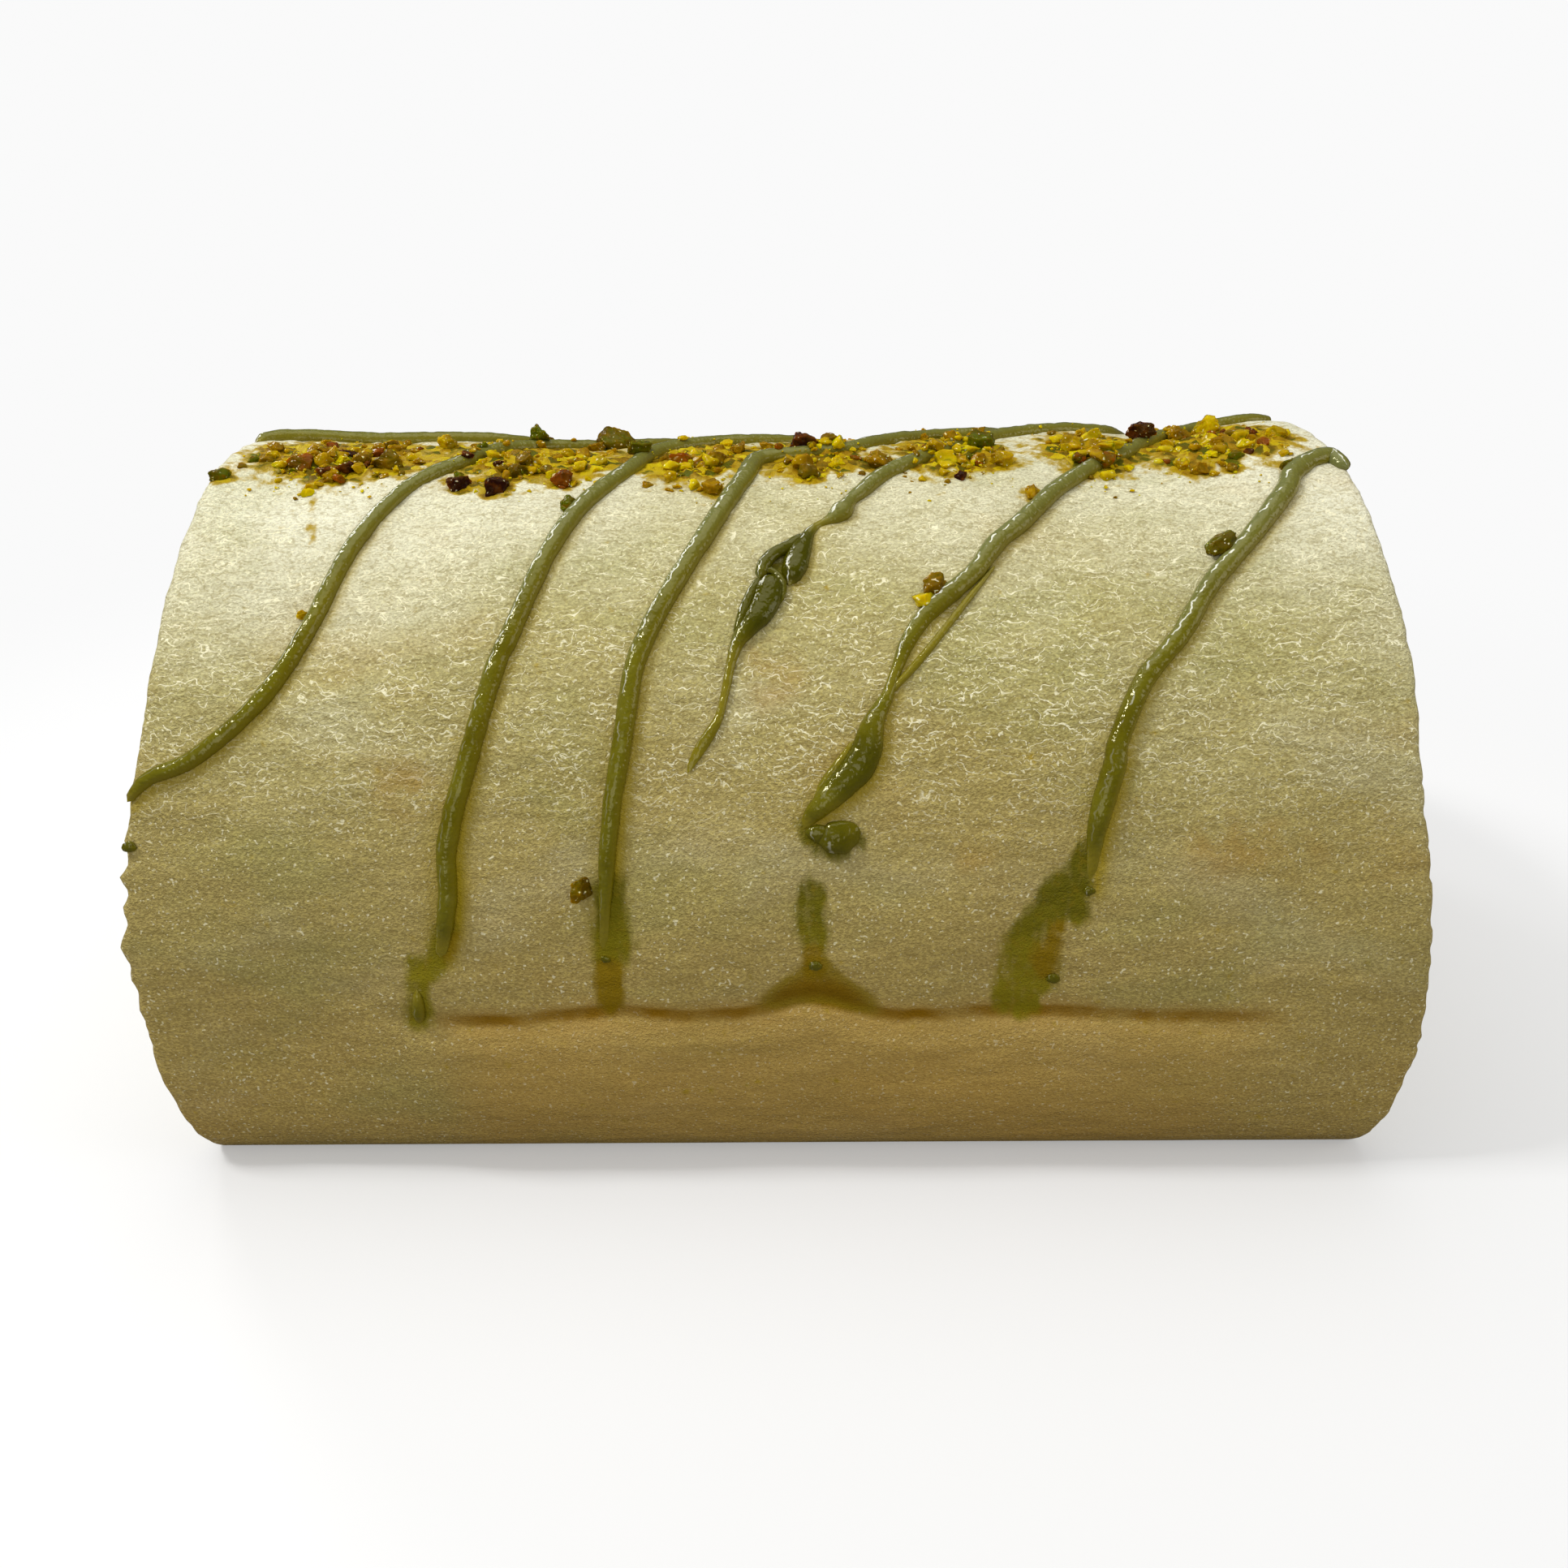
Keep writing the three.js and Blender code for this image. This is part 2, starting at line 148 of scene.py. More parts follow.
# Where the piped cream lies: [x, turn, width] along each stroke.
creamStrokes = [
    [[-95.4, -6, 2], [-92, -9, 3.8], [-84, -11, 4], [-72, -12, 4], [-60, -14, 3.9], [-49, -19, 3.6],
     [-39, -33, 3.3], [-33, -50, 3.4], [-30, -68, 3.2], [-29, -82, 1.4]],
    [[-97.8, 62.9, 1.4], [-94.2, 59.9, 2.6], [-87.2, 57.2, 2.9], [-78, 49.8, 3], [-72, 39.2, 3.1],
     [-68.1, 25.9, 3.1], [-62.7, 13.8, 3], [-55.5, 4.9, 3.4], [-50, -3, 3.4], [-42, -9, 3.5],
     [-33, -13, 3.5], [-23, -18, 3.5], [-13, -29, 3.4], [-6, -46, 3.4], [-2, -66, 3.2],
     [0, -84, 1.4]],
    [[-52.7, 83.6, 1.6], [-51.4, 79, 3], [-50.7, 74.6, 3.3], [-50.5, 68.4, 3.4], [-47.8, 59.4, 3.4],
     [-43.8, 46.6, 3.4], [-41.1, 40.1, 3.3], [-37.9, 31, 3.3], [-33.3, 19.6, 3.4],
     [-26.3, 6.9, 3.6], [-22.5, -2.3, 3.8], [-14, -9, 3.7], [-5, -13, 3.6], [4, -18, 3.5],
     [13, -32, 3.4], [19, -50, 3.4], [22, -68, 3.2], [22.5, -82, 1.4]],
    [[-27.8, 83, 1.2], [-27, 72.7, 2.7], [-25.9, 63.9, 3.1], [-23.9, 53.4, 3.4], [-22.3, 44.9, 3.4],
     [-18.2, 35.9, 3.5], [-12.6, 25.1, 3.6], [-6.9, 12.1, 3.8], [-4.1, 4.8, 3.9], [4, 3.6, 3.4],
     [11, 2, 3.4], [18, -4, 3.5], [28, -11, 3.6], [37, -14.5, 3.6], [44, -26, 3.5], [49, -46, 3.4],
     [52, -66, 3.2], [53, -84, 1.4]],
    [[0.6, 33.6, 1.4], [1, 32.4, 3.4], [1.4, 31, 4.4], [1.9, 29.6, 4.6], [2.5, 28, 4],
     [3.1, 26.5, 3.1], [3.8, 25, 2.2], [4.7, 23.9, 1.7], [5.6, 23.2, 1.5], [6.8, 22.6, 1.9],
     [8.1, 21.9, 3], [9.3, 20.8, 3.9], [10, 19.5, 3.2], [10.8, 18, 2.6], [12.5, 16.2, 3],
     [17.1, 11.1, 3.4], [22.1, 6.9, 3.6], [32, -1.5, 3.7], [42, -9, 3.6], [52, -13, 3.5],
     [61, -17, 3.5], [68, -28, 3.4], [72.5, -43, 3.4], [76, -60, 3.3], [77, -78, 1.4]],
    [[2.6, 66.6, 1.4], [3.8, 65, 3], [5.7, 63.4, 4], [8.1, 61.3, 5], [10.5, 59.3, 5.5],
     [12, 56.9, 5.3], [12.8, 54.3, 4.2], [13.8, 52.1, 3.2], [15.2, 50, 2.3], [16.2, 47.6, 1.8],
     [18.4, 42.9, 2.7], [21.1, 39.6, 3.2], [24.9, 36.2, 3.5], [29.5, 32.5, 3.5], [33.1, 27.8, 3.6],
     [37.8, 23.5, 3.6], [45.8, 14.8, 3.5], [55.5, 6.7, 3.6], [60, 3.2, 3.6], [68, -5, 3.6],
     [78, -11, 3.4], [86, -13, 3.3], [91.4, -15, 2]],
    [[45.6, 74.6, 0.8], [45.6, 72, 1.7], [45.8, 69.3, 2.6], [46, 66.8, 3.3], [46.8, 63.9, 3.8],
     [47.7, 61.2, 4], [48.7, 58.7, 3.8], [49.3, 55.7, 3.5], [53.6, 48.3, 3.4], [59.9, 41.9, 3.4],
     [65.6, 34.6, 3.5], [73.3, 27.3, 3.6], [80.1, 20, 3.9], [82.4, 16.2, 4], [86.3, 13.2, 4],
     [90.1, 12.1, 3.8], [91.9, 15.2, 2.4]],
]

# How each stroke lies: how far it is raised, its share of the darkest colour and the length over
# which its first end sinks into the skin.
strokeSettings = [
    (0, 0, 1.5), (0, 0, 1.5), (0, 0, 7), (0, 0, 8), (0, 1, 1), (0, 0, 3), (0, 0, 12),
]

# Thin second lines and the laps of cream that lie over a stroke.
creamLaps = [
    [[15.6, 49.6, 1.1], [19.6, 45.9, 1.4], [23.7, 41.7, 1.3], [28, 36.8, 1.2], [32.6, 31.6, 0.6]],
    [[-14.6, 59.6, 0.6], [-13.6, 57.8, 1.6], [-12.5, 56.3, 2], [-11.2, 54.5, 1.9], [-10, 52.6, 1.5],
     [-9.2, 50.1, 1.4], [-8.7, 47.2, 1.6], [-8.2, 44.8, 1.8], [-7.3, 42.6, 2.4], [-6.2, 41, 3.1],
     [-5, 39.6, 3.9], [-3.9, 38.2, 4.6], [-2.9, 36.6, 5], [-2.4, 35, 5], [-2.2, 33.5, 4.4],
     [-2.3, 32.4, 3]],
    [[3.8, 25.2, 0.8], [2.4, 26.2, 1.9], [0.6, 27.6, 2.3], [-1.1, 28.5, 2.4], [-2.5, 29.6, 2.5],
     [-3.4, 31, 2.4], [-4.1, 32.9, 1.8]],
    [[-3.8, 32.6, 0.9], [-4.8, 34.3, 1.6], [-5.7, 36.2, 1.9], [-6.4, 38, 1.9], [-7, 39.9, 1.7],
     [-7.6, 41.6, 1]],
    [[-3.6, 32, 0.8], [-2.3, 31.6, 1.2], [-1.1, 32.4, 1.3], [-0.4, 33.7, 1.3], [-0.3, 35.2, 1.1],
     [-0.8, 36.9, 0.6]],
    [[4, 64.6, 0.9], [5.4, 61.8, 1.7], [7.2, 59.4, 1.9], [9, 57.2, 1.5], [10.2, 55.6, 0.9]],
    [[-57.2, 94, 1], [-57.1, 92.4, 2.2], [-56.9, 90.6, 2], [-56.8, 88.4, 0.9]],
]

# The same of each lap; a share below 0 counts from its last end.
lapSettings = [
    (0.1, 0, 1.5), (0.3, -1, 9), (0.5, 0.85, 1), (0.55, 0.8, 1), (0.6, 0.7, 1), (-0.1, 0, 2),
    (0.1, 0, 1),
]

# Dabs that broke off the strokes: [x, turn, width].
creamDabs = [
    [7.7, 67.8, 5.4], [4.8, 67.4, 3.2], [4.4, 85.4, 1.7], [40.9, 87.7, 1.8], [45.4, 75, 1.5],
    [-27.6, 84.4, 1.2], [-98, 68.6, 1.8],
]

# Thin olive smears with no thickness, where cream was wiped or soaked in.
creamSmears = [
    [[3.4, 26, 1.8], [1.6, 27.8, 3.4], [0, 29.8, 5], [-1.2, 31.6, 5.4], [-2.4, 33.6, 5.4],
     [-4, 37, 3.6]],
    [[2.4, 66.4, 2.4], [4, 68.2, 3], [7.4, 69, 6], [10, 68.2, 4]],
    [[44.4, 69.4, 3], [43.8, 71.2, 5], [43, 73, 7.2], [41.7, 75.2, 9], [41, 77.4, 10.8],
     [39.6, 79.5, 10.8], [37.9, 81.9, 10.4], [36.8, 84.6, 10.6], [36.3, 87.6, 10], [36, 90.8, 9.4]],
    [[42.6, 77.2, 6.5], [44.1, 78.3, 5]],
    [[39.6, 82.3, 5.4], [39.8, 85.8, 5.8], [39.2, 88.6, 5.6]],
    [[3.7, 74.4, 4.4], [3.7, 76.1, 6], [3.6, 78.4, 6.2], [3.8, 80.6, 5.6], [4, 83, 4.4],
     [4.3, 86, 3.8]],
    [[-51.7, 80.4, 5.2], [-53.3, 84.3, 4.8], [-54.5, 86.1, 3.6]],
    [[-56.3, 84.9, 4.4], [-56.7, 87.9, 4.8], [-56.9, 91.1, 5.4], [-57.2, 93.6, 5.2]],
    [[-26.5, 74, 5.2], [-26.4, 78.4, 6.6], [-26.4, 81.2, 8.2], [-26.9, 84.1, 6.8],
     [-27.4, 87.2, 5.4], [-27.3, 91, 5.6]],
]

# Where a smear is thin and browned.
brownSmears = [
    [[41.4, 80.6, 2.6], [40.6, 82.6, 3.6], [39.6, 84.8, 3.6], [40, 86.4, 2.6]],
    [[3.9, 84.4, 3.4], [4.2, 87, 3.6]],
    [[-27.2, 86.6, 4.4], [-27.3, 91, 5]],
    [[-49.6, 81.4, 2.4], [-50.6, 83.4, 2.4]],
]

# Faint warm patches of the skin.
skinBlushes = [
    [[-4, 43.6, 3], [-1.6, 45.6, 5], [-0.8, 47.4, 5], [-3, 49.4, 3]],
    [[27.4, 71, 3], [29.4, 71.6, 4]],
    [[-60, 60, 5], [-56, 61.6, 7], [-52.5, 62, 4]],
    [[64, 70, 7], [70, 68, 9], [77, 70, 6]],
]

# A drop that ran down from the nuts.
syrupDrip = [[-78.2, 11, 1.8], [-77.7, 15, 1.5], [-76.6, 20, 1.3], [-75.2, 25, 1.2], [-74.7, 30, 0.8]]

# The largest pistachio pieces: [x, turn, length, thickness, heading].
pistachioChunks = [
    [-31, -12, 7.4, 6, 8], [3.6, 1.6, 6.2, 4.8, 20], [8.2, 1.4, 5, 4.6, 70],
    [-44.6, -8, 4.8, 3.8, 0], [-94, 11.6, 3.8, 1.7, 5], [-82.6, 6.4, 4.8, 3.6, 60],
    [-67.9, 6, 6, 4, 15], [-76.6, 1.5, 4.8, 2.2, 160], [-72.6, 5, 4, 3, 40],
    [-59.7, -3, 4, 3.4, 80], [-54.1, 12.6, 4.4, 2.8, 20], [-47.9, 14.2, 5.4, 3.6, 75],
    [-45.5, 9, 4.4, 2.8, 150], [-37.1, 12, 4.2, 3, 60], [-32.1, 4.6, 4, 2.4, 0],
    [-17.6, 4.5, 4.6, 3.4, 30], [-11.7, 4.2, 4.4, 3.4, 85], [-25.1, 1.6, 5, 2.8, 25],
    [16.4, 8.4, 5.2, 3.6, 10], [34.4, 0.8, 5, 4.6, 80], [36.7, 7.8, 4.4, 3.2, 60],
    [49.9, 2, 5, 3.6, 120], [53.9, -1.4, 4.2, 3.4, 0], [62.5, 0, 4.6, 3.6, 45],
    [70.3, -3, 4.4, 3.8, 90], [76.1, -5.6, 5.2, 4.4, 100], [80.3, 1.8, 4, 2.6, 20],
    [84.9, 3, 4, 2.6, 30], [22.9, 35.2, 4.6, 3.2, 65], [21.3, 37.2, 3.6, 2.8, 10],
    [68, 28.8, 6, 2.4, 58], [-30.7, 74.5, 4.2, 2.8, 80], [40.4, 17.1, 3.4, 2, 60],
    [-35.1, 18.9, 3.4, 2.2, 50], [-73.8, 38.3, 1.8, 1.4, 0],
]

# Colour of each of those: 0 yellow, 0.25 golden, 0.5 olive, 0.65 green, 0.8 red-brown, 1 purple-brown.
chunkTones = [
    0.5, 0.95, 0.4, 0.61, 0.62, 0.76, 0.46, 1.0, 0.4, 0.2, 1.0, 1.0, 0.5, 0.87, 0.1, 0.8, 0.44,
    0.56, 0.36, 0.62, 0.2, 0.22, 0.02, 0.95, 0.36, 0.12, 0.94, 0.14, 0.42, 0.05, 0.57, 0.44, 0.3,
    0.6, 0.16,
]

# Smaller pieces strewn along the crest by clusters: [middle x, spread, how many].
pistachioClusters = [
    [-77.1, 15, 9], [-43.1, 14, 9], [-15.1, 9, 6], [4.9, 9, 5], [28.9, 9, 5], [52.9, 8, 4],
    [74.9, 12, 8],
]


def makePiece(name, points, faces, material):
    mesh = bpy.data.meshes.new(name)
    mesh.from_pydata((np.asarray(points) * mm).tolist(), [], faces)
    mesh.materials.append(material)
    mesh.polygons.foreach_set("use_smooth", [True] * len(mesh.polygons))
    mesh.update()
    piece = bpy.data.objects.new(name, mesh)
    bpy.context.scene.collection.objects.link(piece)
    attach(piece, "root")
    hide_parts(rollNode)
    print(name, "faces", len(mesh.polygons))
    return piece


def setField(piece, name, values):
    field = piece.data.attributes.new(name, "FLOAT", "POINT")
    field.data.foreach_set("value", np.asarray(values, dtype=np.float32))


def catmull(points, places):
    # values of a smooth line through the points, at places counted in points
    points = np.asarray(points, dtype=float)
    k = np.clip(np.floor(places).astype(int), 0, len(points) - 2)
    t = (places - k)[:, None]
    before, start, end, after = (points[np.clip(k + i, 0, len(points) - 1)] for i in (-1, 0, 1, 2))
    return 0.5 * (2 * start + (end - before) * t + (2 * before - 5 * start + 4 * end - after) * t ** 2
                  + (3 * start - before - 3 * end + after) * t ** 3)


def evenStroke(points, step):
    # x, turn and width at even steps along a stroke
    fine = catmull(points, np.linspace(0, len(points) - 1, 40 * len(points)))
    places = rollPoint(fine[:, 0], fine[:, 1])
    length = np.concatenate([[0], np.cumsum(np.linalg.norm(np.diff(places, axis=0), axis=1))])
    count = max(6, int(length[-1] / step))
    at = np.linspace(0, length[-1], count)
    return np.stack([np.interp(at, length, fine[:, i]) for i in range(3)], axis=1), at


class Shade:
    # builds one material's nodes from short lines
    def __init__(self, tree, look=None):
        self.tree, self.look, self.colour = tree, look, None

    def node(self, kind, inputs=None, **settings):
        made = self.tree.nodes.new("ShaderNode" + kind)
        for key, value in settings.items():
            setattr(made, key, value)
        for key, value in (inputs or {}).items():
            self.put(made.inputs[key], value)
        return made

    def put(self, socket, value):
        if isinstance(value, str):
            value = self.look[value]
        if isinstance(value, bpy.types.NodeSocket):
            self.tree.links.new(value, socket)
        elif isinstance(value, (tuple, list)) and len(value) == 3 and socket.type == "RGBA":
            socket.default_value = (*value, 1)
        else:
            socket.default_value = value

    def math(self, operation, a, b=0.0, clamp=False):
        made = self.node("Math", {0: a, 1: b}, operation=operation, use_clamp=clamp)
        return made.outputs[0]

    def times(self, value, *others):
        for other in others:
            value = self.math("MULTIPLY", value, other)
        return value

    def plus(self, value, *others):
        for other in others:
            value = self.math("ADD", value, other)
        return value

    def remap(self, value, low, high, toLow=0.0, toHigh=1.0, smooth=True):
        made = self.node("MapRange", {0: value, 1: low, 2: high, 3: toLow, 4: toHigh})
        made.interpolation_type = "SMOOTHSTEP" if smooth else "LINEAR"
        return made.outputs[0]

    def mix(self, factor, a, b, blend="MIX"):
        made = self.node("Mix", data_type="RGBA", blend_type=blend, clamp_factor=True)
        self.put(made.inputs[0], factor)
        self.put(made.inputs[6], a)
        self.put(made.inputs[7], b)
        return made.outputs[2]

    def over(self, share, colour, blend="MIX"):
        # lays a colour, such as a named one of the look, over the colour so far
        self.colour = self.mix(share, self.colour, colour, blend)

    def wash(self, value, low, high, share, colour, blend="MIX"):
        # the same, by up to a share as a value goes from low to high
        self.over(self.remap(value, low, high, 0, share), colour, blend)

    def cloud(self, place, scale, detail=2.0, rough=0.5):
        inputs = {"Vector": place, "Scale": scale, "Detail": detail, "Roughness": rough}
        return self.node("TexNoise", inputs).outputs["Fac"]

    def wave(self, place, scale, detail=2.0, amount=None, rough=0.5):
        # noise around 0
        made = self.math("SUBTRACT", self.cloud(place, scale, detail, rough), 0.5)
        return made if amount is None else self.times(made, amount)

    def field(self, name):
        return self.node("Attribute", attribute_name=name).outputs["Fac"]

    def place(self, stretch=(1, 1, 1)):
        spot = self.node("TexCoord").outputs["Object"]
        return self.node("Mapping", {"Vector": spot, "Scale": stretch}).outputs[0]

    def axis(self, place, number):
        return self.node("SeparateXYZ", {0: place}).outputs[number]

    def ramp(self, value, stops):
        made = self.node("ValToRGB", {0: value})
        bar = made.color_ramp.elements
        while len(bar) > 1:
            bar.remove(bar[-1])
        bar[0].position, bar[0].color = stops[0][0], (*stops[0][1], 1)
        for position, colour in stops[1:]:
            bar.new(position).color = (*colour, 1)
        return made.outputs[0]


def newMaterial(name, look):
    material = bpy.data.materials.new(name)
    material.use_nodes = True
    material.node_tree.nodes.clear()
    shade = Shade(material.node_tree, look)
    surface = shade.node("BsdfPrincipled")
    shade.output = shade.node("OutputMaterial", {"Surface": surface.outputs[0]})
    return material, shade, surface


def finishSurface(shade, surface, look, relief):
    # the colour so far, faint tinted highlights and a fine relief
    shade.put(surface.inputs["Base Color"], shade.colour)
    surface.inputs["Specular IOR Level"].default_value = look["specular"]
    surface.inputs["Specular Tint"].default_value = (*look["specularTint"], 1)
    bump = shade.node("Bump", {"Strength": look["reliefStrength"], "Distance": look["reliefDepth"],
                               "Height": relief})
    shade.put(surface.inputs["Normal"], bump.outputs[0])


def addGlow(surface, look):
    # light that passes through the flesh of the nuts and the cream
    surface.inputs["Subsurface Weight"].default_value = look["glow"]
    surface.inputs["Subsurface Radius"].default_value = look["glowRadius"]
    surface.inputs["Subsurface Scale"].default_value = look["glowScale"]


def newGroup(name, inputs, outputs):
    tree = bpy.data.node_groups.new(name, "ShaderNodeTree")
    for side, sockets in (("INPUT", inputs), ("OUTPUT", outputs)):
        for label, kind in sockets:
            tree.interface.new_socket(label, in_out=side, socket_type="NodeSocket" + kind)
    return tree, Shade(tree), tree.nodes.new("NodeGroupInput"), tree.nodes.new("NodeGroupOutput")


def makeGrainGroup():
    # fine moist grain, shared by the meringue and the cream: a value to tint by and a height
    tree, shade, given, result = newGroup("moistGrain", [("Place", "Vector"), ("Size", "Float")],
                                          [("Value", "Float"), ("Height", "Float")])
    scale = shade.math("DIVIDE", 1.0, given.outputs["Size"])
    coarse = shade.cloud(given.outputs["Place"], scale)
    pits = shade.cloud(given.outputs["Place"], shade.times(scale, 2.1), 0.0)
    shade.put(result.inputs["Value"], coarse)
    shade.put(result.inputs["Height"], shade.plus(coarse, shade.times(pits, 0.4)))
    return tree


grainGroup = makeGrainGroup()


def moistGrain(shade, place, size):
    made = shade.node("Group", {"Place": place, "Size": size}, node_tree=grainGroup)
    return made.outputs["Value"], made.outputs["Height"]


meringueLook = {
    "low": (0.506, 0.366, 0.113),
    "belly": (0.448, 0.364, 0.131),
    "shoulder": (0.525, 0.47, 0.21),
    "crest": (0.86, 0.838, 0.635),
    "golden": (0.53, 0.32, 0.07),
    "blush": (0.42, 0.24, 0.04),
    "mossy": (0.37, 0.36, 0.12),
    "pale": (0.78, 0.77, 0.58),
    "cut": (0.87, 0.78, 0.53),
    "seamLine": (0.28, 0.14, 0.003),
    "stain": (0.215, 0.115, 0.001),
    "paleStain": (0.26, 0.175, 0.006),
    "oil": (0.36, 0.26, 0.012),
    "olive": (0.13, 0.115, 0.002),
    "wiped": (0.25, 0.205, 0.006),
    "brownish": (0.26, 0.155, 0.001),
    "nutOil": (0.44, 0.29, 0.002),
    "paintedGlint": (1.0, 0.94, 0.64),
    "grainShade": (0.5, 0.42, 0.24),
    "wrinkleShade": (0.62, 0.56, 0.4),
    "grainSize": 0.0004,
    "grainTint": 0.36,
    "roughness": 0.3,
    "specular": 0.1,
    "specularTint": (1.0, 0.94, 0.62),
    "reliefStrength": 1.0,
    "reliefDepth": 0.00028,
}


def makeMeringueMaterial():
    look = meringueLook
    material, shade, surface = newMaterial("moistMeringue", look)
    place, wide = shade.place(), shade.place((0.6, 1, 1))
    height, along = shade.axis(place, 2), shade.axis(place, 0)
    # pale on the crest and golden low down: partly the skin's own colour and partly painted light and
    # shade, lighter on top and darker low down as the light falls; the ends a little paler than the
    # middle
    level = shade.plus(height, shade.wave(place, 28, 3, 0.03), shade.times(along, along, 1.3), -0.0066)
    shade.colour = shade.ramp(shade.remap(level, 0.0, 0.106, smooth=False), [
        (0.1, look["low"]), (0.62, look["belly"]), (0.79, look["shoulder"]), (0.99, look["crest"])])
    patches = shade.cloud(wide, 42, 3, 0.6)
    shade.wash(patches, 0.54, 0.76, 0.3, "golden")
    shade.wash(patches, 0.5, 0.3, 0.34, "mossy")
    pale = shade.remap(shade.cloud(wide, 60), 0.52, 0.72)
    shade.over(shade.times(pale, shade.remap(height, 0.02, 0.1, 0.06, 0.2)), "pale")
    # the cut ends are paler and full of small pores
    cut = shade.field("cutEnd")
    shade.over(shade.times(cut, 0.85), "cut")
    pores = shade.times(shade.remap(shade.cloud(place, 640), 0.46, 0.3), cut)
    shade.over(shade.times(pores, 0.26), "golden")
    # fine grain of darker and lighter specks at random, the lighter ones in the painted glint colour;
    # then painted glints and painted shade along the thin wet wrinkles
    value, grain = moistGrain(shade, shade.place((0.8, 1, 1)), look["grainSize"])
    shade.wash(value, 0.58, 0.36, look["grainTint"], "grainShade", "MULTIPLY")
    shade.wash(value, 0.5, 0.68, look["grainTint"], "paintedGlint", "SOFT_LIGHT")
    glint, shaded = paintedWrinkleGlints(shade, shade.place((0.72, 1, 1)))
    share = shade.field("wrinkleGlintShare")
    shade.over(shade.times(shaded, share), "wrinkleShade", "MULTIPLY")
    shade.over(shade.times(glint, share), "paintedGlint")
    # pin-point glints all over the wet skin
    points = shade.remap(shade.cloud(place, 2000, 0), 0.7, 0.8, 0, 0.6)
    shade.over(shade.times(points, shade.math("SUBTRACT", 1.0, cut)), "paintedGlint")
    wet = soakedStains(shade, place)
    rough = look["roughness"]
    rough = shade.remap(value, 0.3, 0.7, rough - 0.08, rough + 0.14, smooth=False)
    shade.put(surface.inputs["Roughness"], shade.plus(rough, shade.times(wet, 0.16)))
    broad = shade.times(shade.cloud(shade.place((0.8, 1, 1)), 700, 1), 0.5)
    ripples = shade.times(shade.cloud(shade.place((0.35, 1, 1)), 300, 1), 2.1)
    relief = shade.plus(shade.times(grain, 0.95), broad, ripples, shade.times(pores, -0.6))
    finishSurface(shade, surface, look, relief)
    return material


def paintedWrinkleGlints(shade, place):
    # painted light: thin curly glints where the wet skin wrinkles, and a faint painted shade under
    # each one
    def vector(operation, first, second):
        return shade.node("VectorMath", {0: first, 1: second}, operation=operation).outputs[0]

    bend = shade.node("TexNoise", {"Vector": place, "Scale": 380.0, "Detail": 1.0}).outputs["Color"]
    bend = vector("MULTIPLY", vector("SUBTRACT", bend, (0.5, 0.5, 0.5)), (0.0026, 0.0026, 0.0026))
    curled = vector("ADD", place, bend)
    glints, shades = 0.0, 0.0
    for scale, shift in ((570, 0.0), (860, 7.3)):
        spot = vector("ADD", curled, (shift, shift, 0))
        here = shade.cloud(spot, scale, 1)
        above = shade.cloud(vector("ADD", spot, (0, 0.00005, 0.00013)), scale, 1)
        slope = shade.math("SUBTRACT", here, above)
        level = shade.math("ABSOLUTE", shade.math("SUBTRACT", here, 0.52))
        line = shade.times(shade.remap(level, 0.026, 0.01), shade.remap(slope, -0.002, 0.022))
        under = shade.times(shade.remap(level, 0.09, 0.03), shade.remap(slope, -0.004, -0.03), 0.5)
        broken = shade.remap(shade.cloud(spot, 190, 1), 0.37, 0.57)
        glints = shade.math("MAXIMUM", glints, shade.times(line, broken, 0.92))
        shades = shade.math("MAXIMUM", shades, under)
    return glints, shades


